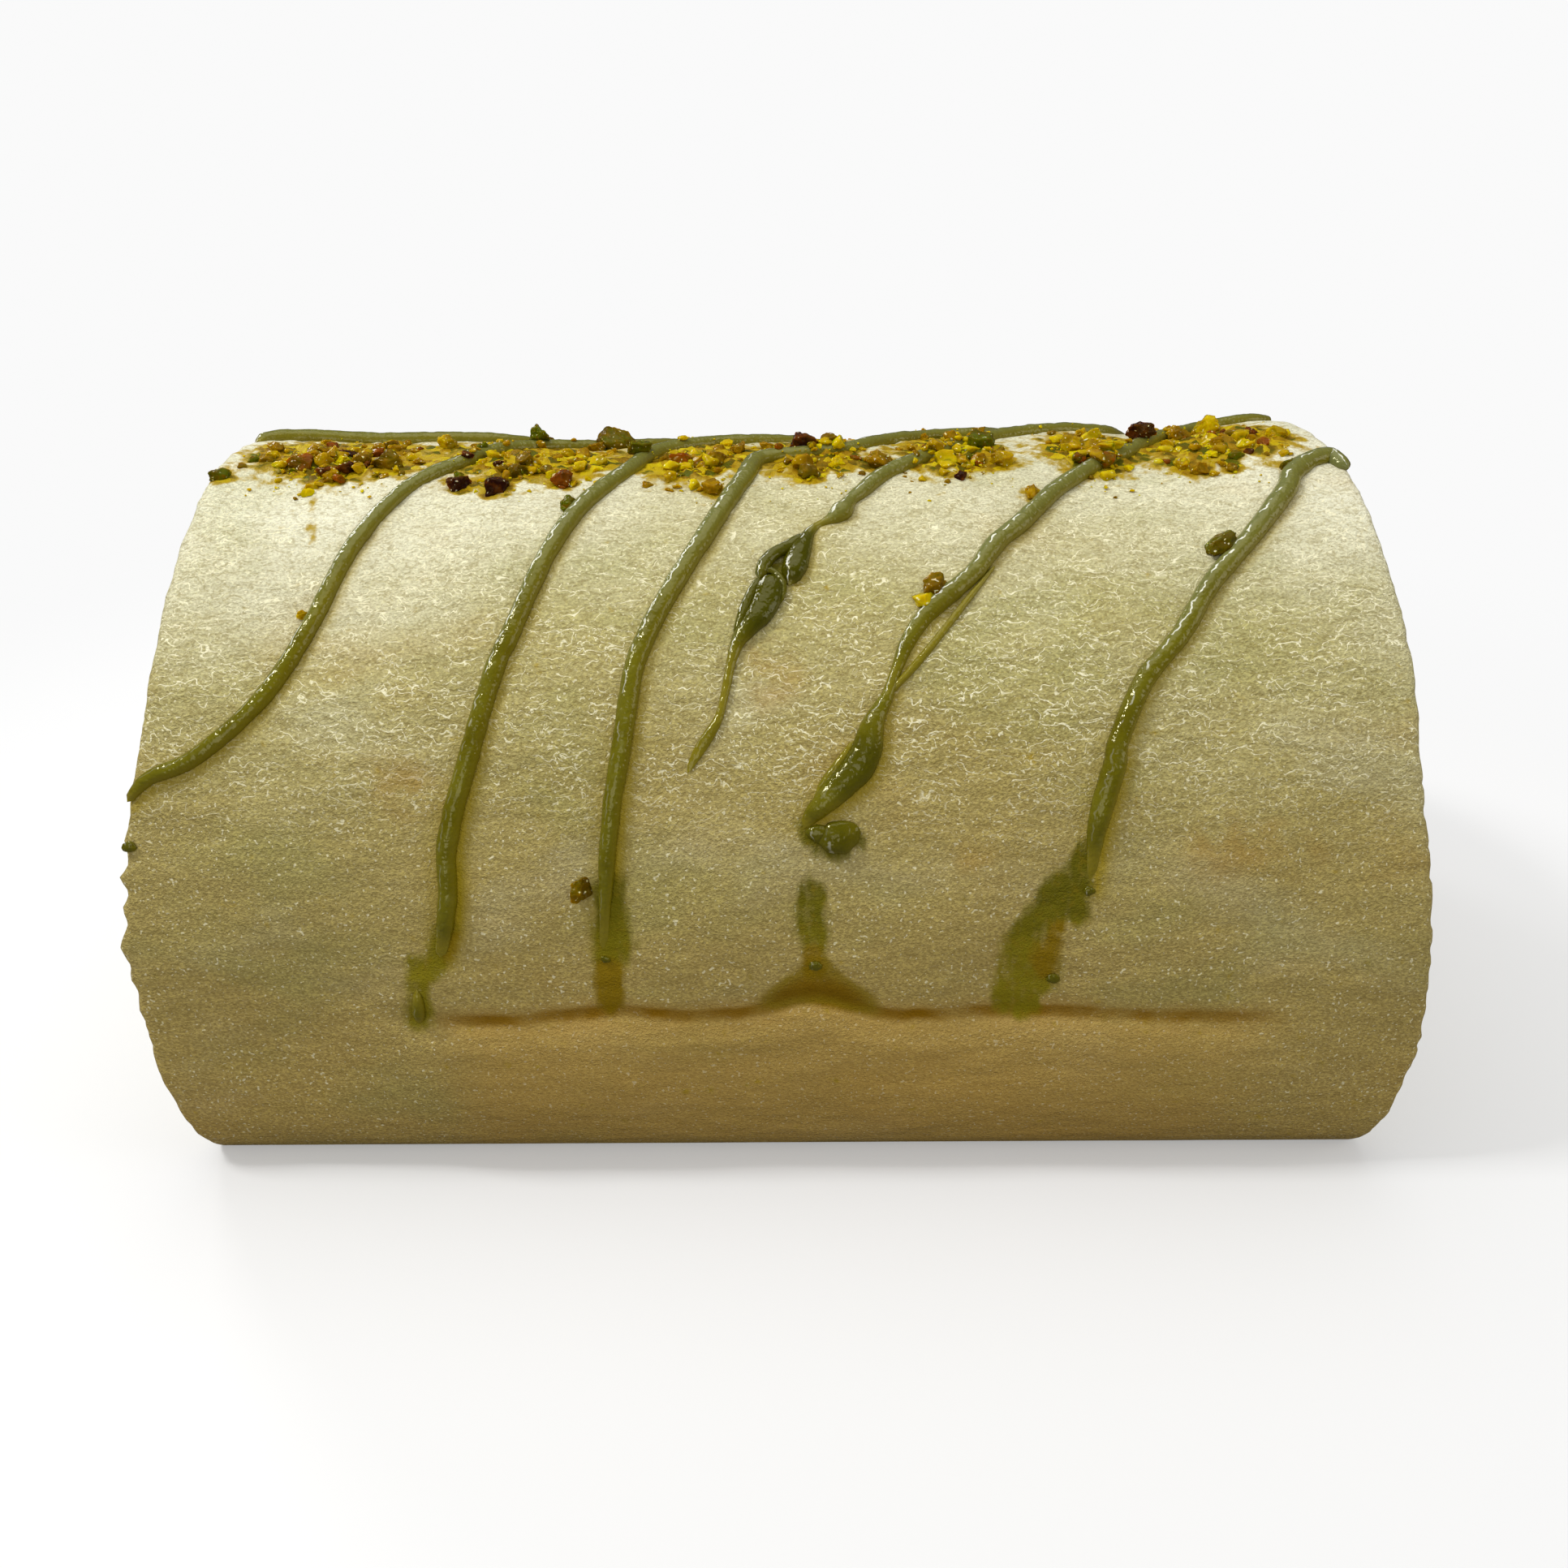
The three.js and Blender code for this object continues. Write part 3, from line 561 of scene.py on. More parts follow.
def soakedStains(shade, place):
    # what ran or soaked into the skin; gives back how wet it is
    uneven = shade.remap(shade.cloud(place, 170), 0.3, 0.65, 0, 0.5)
    shade.over(shade.times(shade.field("blush"), uneven), "blush")
    # the syrup of the seam
    offset, strength = shade.field("seamOffset"), shade.field("seamStrength")
    nearSeam = shade.math("ABSOLUTE", shade.plus(offset, shade.wave(place, 160, 3, 1.6)))
    shade.over(shade.times(shade.remap(offset, 0, 2.5), strength, 0.45), "golden")
    patchy = shade.times(strength, shade.remap(shade.cloud(place, 90), 0.3, 0.6, 0.35, 1))
    shade.over(shade.times(shade.remap(nearSeam, 4, 0.4), patchy, 0.55), "golden")
    shade.over(shade.times(shade.remap(nearSeam, 1.7, 0.4), patchy), "seamLine")
    # oil of the nuts, and small wet shards of crushed nut pressed into the skin
    ragged = shade.wave(place, 420, 3)
    soaked = shade.plus(shade.field("nutStain"), shade.times(ragged, 1.3))
    oiled = shade.remap(soaked, 0.2, 0.5, 0, 0.96)
    shade.over(oiled, "nutOil")
    shards = shade.node("TexVoronoi", {"Vector": place, "Scale": 560.0}, feature="F1")
    pick = shade.node("SeparateColor", {0: shards.outputs["Color"]}).outputs[0]
    tone = shade.math("ADD", shade.times(pick, 0.62), shade.times(ragged, 0.5), clamp=True)
    shade.wash(soaked, 0.4, 0.72, 0.97, nutColour(shade, tone))
    stained = shade.plus(shade.field("peakStain"), shade.times(ragged, 0.2))
    shade.wash(stained, 0.04, 0.5, 0.85, "paleStain")
    shade.over(shade.remap(stained, 0.42, 1.05), "stain")
    # oil round the strokes, and painted shade on their right side
    shade.over(shade.field("creamOilAndShade"), "oil")
    # wiped cream: streaks run down, and its low parts are thinner and browner
    streaks = shade.wave(shade.place((1, 1, 0.22)), 620, 2, 1.1)
    smeared = shade.plus(shade.field("smear"), streaks, shade.times(ragged, 0.8))
    smeared = shade.remap(smeared, 0.16, 1.05, 0, 0.97)
    thin = shade.plus(shade.remap(shade.axis(place, 2), 0.056, 0.038), shade.times(ragged, 0.9))
    wiped = shade.mix(thin, "olive", "wiped")
    specks = shade.remap(shade.cloud(place, 900, 1), 0.5, 0.75, 0, 0.4)
    wiped = shade.mix(specks, wiped, "paleStain")
    browned = shade.plus(shade.field("browned"), shade.times(ragged, 0.8))
    wiped = shade.mix(shade.remap(browned, 0.2, 0.85, 0, 0.85), wiped, "brownish")
    shade.over(smeared, wiped)
    wet = shade.math("MAXIMUM", oiled, smeared)
    return shade.math("MAXIMUM", wet, shade.remap(stained, 0.2, 0.7))


skinGrid = {
    "frontLines": 150,
    "backLines": 122,
    "baseLines": 14,
    "stations": 212,
    "rimSteps": 5,
    "faceRings": 44,
    "tornRings": 10,
    "baseTurn": 122,
}

# The bed of crushed nut along the crest.
nutBed = {
    "middleTurn": 3.8,
    "frontSpread": 7.2,
    "backSpread": 12,
    "fullest": 1.1,
    "height": 1.5,
}


def nutPaste(x, turn):
    # how thickly crushed nut and oil cover the skin
    aside = turn - nutBed["middleTurn"]
    across = bell(aside, np.where(aside > 0, nutBed["frontSpread"], nutBed["backSpread"]))
    cover = sum(bell(x - middle, spread * 0.95) for middle, spread, _ in pistachioClusters)
    return np.minimum(cover * across, nutBed["fullest"])


# Torn points of the skin on the left rim: [turn, reach, half its width in degrees].
tornFlakes = [[67.6, 0.5, 1.6], [73, 1.5, 2], [77.2, 0.8, 2.4], [82.4, 1.3, 3], [87.5, 0.5, 2.4]]


def ragged(turn, side):
    # how far the torn rim of a cut end stands out from its even line
    arc, bend = turn * 1.25, np.abs(turn)
    line = np.stack([arc, 0 * arc + 7.0 * side, 0 * arc], axis=-1)
    small = 0.28 * cloudAt(line, 4.0)
    if side < 0:
        torn = ease(turn, 60, 68) * (1 - ease(turn, 96, 106)) * 0.5 * cloudAt(line, 4.2, 2, 3.1)
        for at, reach, width in tornFlakes:
            torn = torn + reach * np.maximum(0, 1 - np.abs(turn - at) / width) ** 1.4
        return small + torn
    scallops = 0.5 * np.maximum(-0.4, cloudAt(line, 1.9, 1, 6.0)) * (0.7 + cloudAt(line, 12.0, 1, 1.0))
    return small + scallops * ease(bend, 28, 50) * (1 - ease(bend, 104, 116))


def spiralGap(turn, share, radius):
    # distance on a cut end to the groove between the turns of the sheet
    wound = ((turn - roll["seamTurn"]) % 360) / 360
    gap = np.full(np.shape(share * turn), 99.0)
    for lap in range(3):
        at = wound + lap
        inside = (at > 0.3) & (at < roll["sheetTurns"] - 0.04)
        gap = np.where(inside, np.minimum(gap, np.abs(share - at / roll["sheetTurns"]) * radius), gap)
    return gap


def skinRings(turns):
    # each ring's x, its share of the section's radius and its share of the skin's relief
    grid, rim = skinGrid, roll["rimRadius"]
    tears = {side: ragged(turns, side) for side in (-1, 1)}
    rows = {-1: [], 1: []}
    for side, row in rows.items():
        tear, reach = tears[side], endReach(turns, side)
        radius = sectionRadius(side * reach, turns)
        for step in reversed(range(grid["faceRings"])):
            share = (1 - rim / radius) * (1 - step / grid["faceRings"])
            x = endFace(turns, side, share) + tear * max(0, 1 - step / grid["tornRings"])
            row.append((side * x, share, 0.0))
        for step in range(1, grid["rimSteps"] + 1):
            bend = math.pi / 2 * (1 - step / grid["rimSteps"])
            x = reach + tear - rim * (1 - math.sin(bend))
            row.append((side * x, 1 - rim / radius * (1 - math.cos(bend)), 1.0))
    middle = []
    for along in np.linspace(-1, 1, grid["stations"])[1:-1]:
        side = -1 if along < 0 else 1
        x = along * (endReach(turns, side) - rim) + side * tears[side] * abs(along) ** 40
        middle.append((x, np.ones_like(turns), 1.0))
    return rows[-1] + middle + rows[1][::-1]


def skinRelief(places, x, turn):
    # low bumps of the skin, and the lumps of the nut bed
    stretched, bend = places * (0.5, 1, 1), np.abs(turn)
    swells = 0.3 * cloudAt(places, 14.0, 2) * (1 - 0.6 * ease(bend, 84, 96).ravel())
    bumps = swells + 0.16 * cloudAt(stretched, 4.5, 2, 5.0) + 0.09 * cloudAt(stretched, 1.9, 2, 9.0)
    lumps = np.maximum(0.45 + 0.9 * cloudAt(places, 2.1, 2, 12.0), 0).reshape(x.shape)
    lift = bumps.reshape(x.shape) * (1 - ease(bend, 112, 122))
    return lift + nutBed["height"] * nutPaste(x, turn) * lumps


def faceRelief(places, x, turn, share):
    # how deep a cut end lies: the groove between the turns of the sheet, and an open crumb
    groove = bell(spiralGap(turn, share, sectionRadius(x, turn)), roll["grooveWidth"])
    crumb = 0.35 * cloudAt(places, 3.2, 3, 2.0) + 0.3 * cloudAt(places, 9.0, 2, 4.0)
    crumb = crumb.reshape(x.shape) * ease(1 - share, 0.02, 0.1) * ease(share, 0.03, 0.16)
    return roll["grooveDepth"] * groove - crumb


def buildSkin(material):
    grid, base = skinGrid, skinGrid["baseTurn"]
    turns = np.concatenate([
        np.linspace(-base, 0, grid["backLines"], endpoint=False),
        np.linspace(0, base, grid["frontLines"]),
        np.linspace(base, 360 - base, grid["baseLines"] + 2)[1:-1]])
    turns = np.where(turns > 180, turns - 360, turns)
    rings = skinRings(turns)
    count = len(turns)
    x, share = (np.array([ring[i] for ring in rings]) for i in (0, 1))
    onSkin = np.array([ring[2] for ring in rings])[:, None] * np.ones(count)
    turn = np.ones((len(rings), 1)) * turns
    places = rollPoint(x, turn, share).reshape(-1, 3)
    lift = skinRelief(places, x, turn) * onSkin
    x = x - np.sign(x) * (1 - onSkin) * faceRelief(places, x, turn, share)
    points = rollPoint(x, turn, share, lift).reshape(-1, 3)
    # faces between the rings, and a fan at the middle of each cut end
    total, last = len(points), (len(rings) - 1) * count
    around = np.arange(count)
    following = (around + 1) % count
    faces = []
    for start in range(0, last, count):
        here, there = start + around, start + following
        faces += np.stack([here, there, there + count, here + count], axis=1).tolist()
    pairs = list(zip(around.tolist(), following.tolist()))
    faces += [(total, j, i) for i, j in pairs] + [(total + 1, last + i, last + j) for i, j in pairs]
    poles = [[side * roll["faceReach"], 0, roll["middleHeight"]] for side in (-1, 1)]
    points = np.concatenate([points, poles])
    skin = makePiece("meringueSkin", points, faces, material)
    turn, onSkin = (np.append(values, [0, 0]) for values in (turn, onSkin))
    setSkinFields(skin, points, np.append(x, points[-2:, 0]), turn, onSkin)


def spotTree(spots):
    tree = kdtree.KDTree(len(spots))
    for i, spot in enumerate(spots):
        tree.insert(spot, i)
    tree.balance()
    return tree


def nearest(points, spots, halves):
    # distance from each point to the nearest spot's edge, and that spot's number
    tree = spotTree(spots)
    found = [tree.find(point)[1:] for point in points.tolist()]
    number, distance = np.array([at for at, _ in found]), np.array([far for _, far in found])
    return distance - halves[number], number


def strokeSpots(strokes):
    lines = np.concatenate([evenStroke(points, 0.8)[0] for points in strokes])
    return rollPoint(lines[:, 0], lines[:, 1]), lines[:, 2] / 2


def gapTo(points, strokes):
    # distance to the nearest edge of the strokes, and that place's x and half width
    spots, halves = strokeSpots(strokes)
    gap, number = nearest(points, spots, halves)
    return gap, spots[number, 0], halves[number]


def setSkinFields(skin, points, x, turn, onSkin):
    # where the skin is cut, creased, wiped or stained, and where painted shade and painted glints lie
    def mark(name, values):
        setField(skin, name, values * onSkin)

    low, bend, below = ease(turn, 40, 88), np.abs(turn), turn - seamAt(x)
    setField(skin, "cutEnd", 1 - onSkin)
    setField(skin, "seamOffset", below * 1.18)
    seam = seamAlong(x) * ease(x, -60, -44) * ease(turn, 70, 80) * (1 - ease(turn, 118, 121))
    mark("seamStrength", seam)
    gap, middle, _ = gapTo(points, creamStrokes)
    # oil round each stroke, and painted shade that is heavier on the stroke's right side
    toRight = ease(points[:, 0] - middle, -0.4, 1.2)
    oilAndShade = bell(np.maximum(gap, 0), 1.0 + 0.7 * low) * (0.1 + 0.45 * low + 0.6 * toRight)
    mark("creamOilAndShade", oilAndShade * ease(turn, 12, 26))
    gap, _, half = gapTo(points, creamSmears)
    mark("smear", 1 - ease(gap, -np.minimum(2.2, 0.7 * half), 1.3))
    gap = gapTo(points, skinBlushes)[0]
    mark("blush", 1 - ease(gap, -2.2, 3.2))
    gap = gapTo(points, brownSmears)[0]
    mark("browned", 1 - ease(gap, -1.4, 2.6))
    # the peak of syrup above the seam
    aside = np.abs(x - 5)
    width = 1.5 + 10.5 * ease(below, -7.4, -0.5)
    soft = (1 - ease(aside / width, 0.3, 1.2)) * ease(below, -8.4, -6) * (1 - ease(below, 0.2, 1.6))
    dark = (1 - ease(aside, 5.5, 10.5)) * ease(below, -4.8, -2) * (1 - ease(below, -1, 0.6))
    mark("peakStain", 0.5 * soft + 0.42 * dark)
    # oil round each nut, under the nut bed and along the drip
    nuts = np.array(pistachioChunks + strewnNuts())
    gap = nearest(points, rollPoint(nuts[:, 0], nuts[:, 1]), nuts[:, 2] / 2)[0]
    oil = 0.45 * bell(np.maximum(gap, 0), 1.0) * (1 - 0.75 * ease(turn, 15, 22))
    oil = oil + 1.35 * nutPaste(x, turn)
    oil = oil + 0.36 * (1 - ease(gapTo(points, [syrupDrip])[0], -0.6, 0.8))
    mark("nutStain", np.minimum(oil, 1.6))
    # how much of the painted wrinkle glints and painted shade shows round the roll, fading low down
    glintShare = (0.25 + 0.75 * ease(bend, 4, 20)) * (1 - 0.93 * ease(bend, 52, 74))
    mark("wrinkleGlintShare", glintShare)


creamLook = {
    "high": (0.17, 0.166, 0.032),
    "body": (0.165, 0.148, 0.006),
    "deep": (0.12, 0.102, 0.001),
    "fat": (0.066, 0.063, 0.0003),
    "pale": (0.25, 0.24, 0.055),
    "thin": (0.25, 0.2, 0.012),
    "paintedSheen": (0.176, 0.19, 0.066),
    "paintedShadeSide": (0.19, 0.15, 0.002),
    "glint": (1.0, 1.0, 0.86),
    "roughness": 0.13,
    "specular": 0.42,
    "specularTint": (1.0, 0.95, 0.6),
    "reliefStrength": 1.0,
    "reliefDepth": 0.00017,
    "grainSize": 0.0011,
    "glow": 0.15,
    "glowRadius": (1.0, 0.9, 0.12),
    "glowScale": 0.0015,
    "sides": 14,
    "widthShare": 0.9,
    "step": 0.7,
    "sink": 0.12,
    "tall": 0.88,
    "capLength": 1.1,
    "paintedLightFrom": (-0.75, 0.5, 0.4),
}


def makeCreamMaterial():
    look = creamLook
    material, shade, surface = newMaterial("pistachioCream", look)
    place = shade.place()
    height = shade.axis(place, 2)
    shade.colour = shade.mix(shade.remap(shade.cloud(place, 130, 3), 0.35, 0.7), "body", "deep")
    # painted light and shade: the cream lighter high on the roll and darker low down
    shade.wash(height, 0.085, 0.104, 0.9, "high")
    shade.wash(height, 0.075, 0.03, 0.6, "deep")
    shade.wash(shade.cloud(place, 700), 0.55, 0.8, 0.35, "pale")
    # painted sheen, greyer on the left flank high up, and painted shade, golden on the other flank
    flank = shade.field("leftFlank")
    paintedSheen = shade.times(shade.remap(flank, 0.0, 0.7, 0, 0.65), shade.remap(height, 0.075, 0.098))
    shade.over(paintedSheen, "paintedSheen")
    shade.wash(flank, -0.05, -0.7, 0.7, "paintedShadeSide")
    shade.over(shade.field("fatness"), "fat")
    shade.over(shade.field("thinness"), "thin")
    # a broken chain of wet glints along the left flank
    nearLine = shade.math("SUBTRACT", shade.plus(flank, shade.wave(place, 480, 2, 1.1)), 0.5)
    chain = shade.remap(shade.math("ABSOLUTE", nearLine), 0.1, 0.03)
    broken = shade.remap(shade.cloud(place, 560), 0.44, 0.54)
    shade.over(shade.times(chain, broken, shade.field("shine"), 0.8), "glint")
    value, grain = moistGrain(shade, place, look["grainSize"])
    rough = look["roughness"]
    shade.put(surface.inputs["Roughness"], shade.remap(value, 0.3, 0.7, rough - 0.1, rough + 0.1))
    addGlow(surface, look)
    finishSurface(shade, surface, look, grain)
    return material


def creamBead(points, seed, raised, dark, sinking):
    # a domed rope of cream along its points, with the values its colour goes by
    look = creamLook
    line, at = evenStroke(points, look["step"])
    x, turn, width = line[:, 0], line[:, 1], line[:, 2] * look["widthShare"]
    middle, up = rollPoint(x, turn), rollNormal(x, turn)
    ahead = np.gradient(middle, axis=0)
    ahead /= np.linalg.norm(ahead, axis=1, keepdims=True)
    side = np.cross(ahead, up)
    side /= np.linalg.norm(side, axis=1, keepdims=True)
    wander = np.stack([at, 0 * at + 31.0 * seed, 0 * at], axis=1)
    width = width * (1 + 0.05 * cloudAt(wander, 5.0) + 0.05 * cloudAt(wander, 2.2, 2, 8.0))
    middle = middle + side * (0.14 * cloudAt(wander, 7.0, 2, 4.0))[:, None]
    # rounded tips, and wide places lie flatter
    ends = np.minimum(at, at[-1] - at) / (look["capLength"] * np.maximum(width, 0.6) / 2)
    tip = np.sqrt(np.clip(1 - (1 - np.clip(ends, 0, 1)) ** 2, 0.02, 1))
    sunk = ease(at, 0, sinking)
    flatter = np.minimum(1, (3.6 / width) ** 1.15) * (0.12 + 0.88 * sunk)
    half = width / 2 * tip
    tall = half * look["tall"] * flatter
    middle = middle + up * (look["sink"] * np.minimum(width, 3.6) * flatter + raised)[:, None]
    bends = np.linspace(0, 2 * math.pi, look["sides"], endpoint=False)
    rings = (middle[:, None] + side[:, None] * (half[:, None] * np.sin(bends))[..., None]
             + up[:, None] * (tall[:, None] * np.cos(bends))[..., None])
    points = rings.reshape(-1, 3)
    dents = 0.09 * cloudAt(points, 1.7, 2, seed)
    points = points + np.repeat(up, look["sides"], axis=0) * dents[:, None]
    points = np.concatenate([points, middle[:1] - ahead[:1] * 0.1, middle[-1:] + ahead[-1:] * 0.1])
    # the flank is 1 on the left, -1 on the right, and leans to 1 all round near the crest; it places
    # the painted sheen, the painted shade side and the painted glints
    across = np.sin(bends) / np.maximum(half, 0.2)[:, None]
    flank = across / np.hypot(across, np.cos(bends) / np.maximum(tall, 0.2)[:, None])
    bend = np.abs(turn)
    flank = flank * np.tanh(8 * side @ look["paintedLightFrom"])[:, None]
    flank = flank + 0.36 * (1 - ease(bend, 14, 38))[:, None]
    thin = 0.8 * (1 - ease(width * (0.5 + 0.5 * sunk), 1.1, 2.3)) * (raised < 0.4)
    head = at if dark >= 0 else at[-1] - at
    fat = np.maximum(0.7 * ease(width, 3.7, 4.9), abs(dark) * (1 - ease(head, 9, 15)))
    # where the painted glint chain shows: mostly high on the roll, less on wide places
    shine = (0.5 + 0.5 * ease(bend, 8, 16)) * (1 - 0.9 * ease(bend, 36, 60)) * ease(width, 1, 1.8)
    shine = shine * (1 - 0.5 * ease(width, 3.8, 4.6))
    fields = [np.repeat(field, look["sides"]) for field in (thin, fat, shine)] + [flank.ravel()]
    fields = [np.append(field, [field[0], field[-1]]) for field in fields]
    return points, ropeFaces(len(line), look["sides"]), *fields


def ropeFaces(total, count):
    # faces between the rings of a rope, and a fan on each end
    faces = []
    for ring in range(0, (total - 1) * count, count):
        for i in range(count):
            j = (i + 1) % count
            faces.append((ring + i, ring + j, ring + count + j, ring + count + i))
    first, last = total * count, (total - 1) * count
    for i in range(count):
        j = (i + 1) % count
        faces += [(first, j, i), (first + 1, last + i, last + j)]
    return faces


def roundStone(level):
    # an icosphere of radius 1 as points and faces
    t = (1 + 5 ** 0.5) / 2
    points = [Vector(corner) for a in (-1, 1) for b in (-t, t)
              for corner in ((a, b, 0), (0, a, b), (b, 0, a))]
    faces = []
    for a, b, c in combinations(range(12), 3):
        first, second, third = points[a], points[b], points[c]
        if max((first - second).length, (second - third).length, (third - first).length) < 2.1:
            outward = (second - first).cross(third - first).dot(first) > 0
            faces.append((a, b, c) if outward else (a, c, b))
    points = [point.normalized() for point in points]
    for _ in range(level):
        middles, finer = {}, []
        for corners in faces:
            mids = []
            for pair in zip(corners, corners[1:] + corners[:1]):
                key = tuple(sorted(pair))
                if key not in middles:
                    middles[key] = len(points)
                    points.append(((points[pair[0]] + points[pair[1]]) / 2).normalized())
                mids.append(middles[key])
            finer += [(corners[i], mids[i], mids[i - 1]) for i in range(3)] + [tuple(mids)]
        faces = finer
    return np.array([tuple(point) for point in points]), faces


stones = [roundStone(level) for level in range(4)]


def makeJoined(name, parts, fieldNames, material):
    # one piece of many parts, each given by its points, its faces and its values for the fields
    points, faces, start = [], [], 0
    for part in parts:
        points.append(part[0])
        faces += [tuple(i + start for i in face) for face in part[1]]
        start += len(part[0])
    piece = makePiece(name, np.concatenate(points), faces, material)
    for i, fieldName in enumerate(fieldNames, 2):
        setField(piece, fieldName, np.concatenate([part[i] for part in parts]))


def creamDab(x, turn, width, seed):
    rounded, faces = stones[3]
    points = rounded * (width * 0.6, width * 0.46, width * 0.24)
    points = points * (1 + 0.22 * cloudAt(points, width * 0.6, 2, seed))[:, None]
    even = np.ones(len(points))
    fields = (0 * even, 0.45 * even, 0.25 * even, -rounded[:, 0])
    return seated(points, x, turn, 0.05 * width, 0), faces, *fields


def buildCream(material):
    parts = []
    for seed, lines, settings in ((0, creamStrokes, strokeSettings), (20, creamLaps, lapSettings)):
        parts += [creamBead(points, seed + i, *settings[i]) for i, points in enumerate(lines)]
    parts += [creamDab(*dab, 3.0 + i) for i, dab in enumerate(creamDabs)]
    makeJoined("creamStrokes", parts, ("thinness", "fatness", "shine", "leftFlank"), material)


pistachioLook = {
    "tones": [(0.0, (0.62, 0.48, 0.002)), (0.18, (0.46, 0.3, 0.001)), (0.34, (0.3, 0.16, 0.001)),
              (0.5, (0.12, 0.08, 0.001)), (0.64, (0.08, 0.1, 0.001)), (0.8, (0.24, 0.06, 0.001)),
              (1.0, (0.024, 0.005, 0.003))],
    "glint": (1.0, 0.96, 0.6),
    "huskBrown": (0.07, 0.028, 0.001),
    "roughness": 0.12,
    "specular": 0.1,
    "specularTint": (1.0, 0.85, 0.3),
    "reliefStrength": 0.7,
    "reliefDepth": 0.0001,
    "glow": 0.8,
    "glowRadius": (1.0, 0.7, 0.03),
    "glowScale": 0.0014,
}

# Loose pieces by size: [how many, seed, smallest, largest, spread in degrees, height of the pile].
looseNuts = {
    "crumbs": [400, 2000, 1.5, 4.4, 9.5, 0.8],
    "bits": [360, 5000, 0.7, 2, 12, 0.3],
    "powder": [800, 6000, 0.3, 0.9, 12, 0.9],
}


def makeToneGroup():
    # the colours of wet pistachio, from yellow through olive and green to purple-brown skin
    tree, shade, given, result = newGroup("nutTones", [("Tone", "Float")], [("Color", "Color")])
    shade.put(result.inputs["Color"], shade.ramp(given.outputs["Tone"], pistachioLook["tones"]))
    return tree


toneGroup = makeToneGroup()


def nutColour(shade, tone):
    return shade.node("Group", {"Tone": tone}, node_tree=toneGroup).outputs["Color"]


def seated(points, x, turn, lift, heading):
    # stands a shape on the skin with its Z along the skin's normal
    up = Vector(rollNormal(float(x), float(turn)).tolist())
    turned = up.to_track_quat("Z", "Y").to_matrix() @ Matrix.Rotation(math.radians(heading), 3, "Z")
    middle = rollPoint(float(x), float(turn)) + np.array(up) * lift
    return points @ np.array(turned).T + middle


# How each level of stone is cut: [how many cuts, how near to the middle they come].
stoneCuts = [[0, 0.3], [5, 0.3], [9, 0.42], [10, 0.5]]


def choppedNut(nut, seed, level, tone, huskShare, lift):
    # a round stone cut flat all over by chance, as a knife breaks a nut, with its tone and husk
    x, turn, length, thickness, heading = nut
    points, faces = stones[level]
    points = points.copy()
    cuts, closest = stoneCuts[level]
    for cut in range(cuts):
        around, rise = 2 * math.pi * chance(seed + 0.13 * cut), 2 * chance(seed + 0.37 * cut + 0.1) - 1
        flat = math.sqrt(max(0, 1 - rise * rise))
        face = np.array([flat * math.cos(around), flat * math.sin(around), rise])
        over = points @ face - (closest + 0.36 * chance(seed + 0.21 * cut))
        points -= np.maximum(over, 0)[:, None] * face
    if level >= 2:
        points *= (1 + 0.22 * cloudAt(points, 0.5, 3, seed % 17))[:, None]
    skinTurn = 6.3 * chance(seed + 0.6)
    husk = ease(points @ np.array([math.cos(skinTurn), math.sin(skinTurn), 0.5]), 0.3, 0.42)
    husk = husk * huskShare
    low, high = points.min(axis=0), points.max(axis=0)
    size = (length, (length + thickness) / 2, thickness)
    points = (points - (low + high) / 2) / (high - low) * size
    tip = Matrix.Rotation(math.radians(50 * chance(seed + 0.77) - 25), 3, "X")
    points = seated(points @ np.array(tip), x, turn, 0.22 * thickness + lift, heading)
    return points, faces, np.full(len(points), tone), husk


def strewnNuts():
    # the smaller pieces, placed by the same rule as the solid's
    nuts, seed = [], 0
    for middle, spread, count in pistachioClusters:
        for _ in range(count):
            seed += 1
            x = middle + spread * (chance(seed) + chance(seed + 0.3) - 1)
            turn = 1 + 17 * (chance(seed + 0.5) + chance(seed + 0.7) - 1)
            length = 2.4 + 1.5 * chance(seed + 0.9)
            thickness = length * (0.55 + 0.3 * chance(seed + 0.2))
            nuts.append([x, turn, length, thickness, 180 * chance(seed + 0.4)])
    return nuts


def scattered(count, start, small, large, spreadTurn, pile):
    # crumbs that thicken and pile up towards the clusters, each with its lift
    weights = np.array([spread for _, spread, _ in pistachioClusters], dtype=float)
    edges = np.cumsum(weights) / weights.sum()
    found = []
    for i in range(count):
        seed = start + i * 1.7
        centre, spread, _ = pistachioClusters[int(np.searchsorted(edges, chance(seed)))]
        x = centre + spread * 1.1 * (chance(seed + 0.3) + chance(seed + 0.6) - 1)
        aside = chance(seed + 0.5) + chance(seed + 0.8) + chance(seed + 0.15) - 1.5
        turn = nutBed["middleTurn"] + spreadTurn * aside
        middle = float(bell(x - centre, spread * 0.8) * bell(turn - 5, 7))
        size = small + (large - small) * chance(seed + 0.9) ** 2 * (0.35 + 0.65 * middle)
        nut = [x, turn, size, size * (0.42 + 0.3 * chance(seed + 0.2)), 180 * chance(seed + 0.4)]
        found.append((nut, pile * middle * chance(seed + 0.25)))
    return found


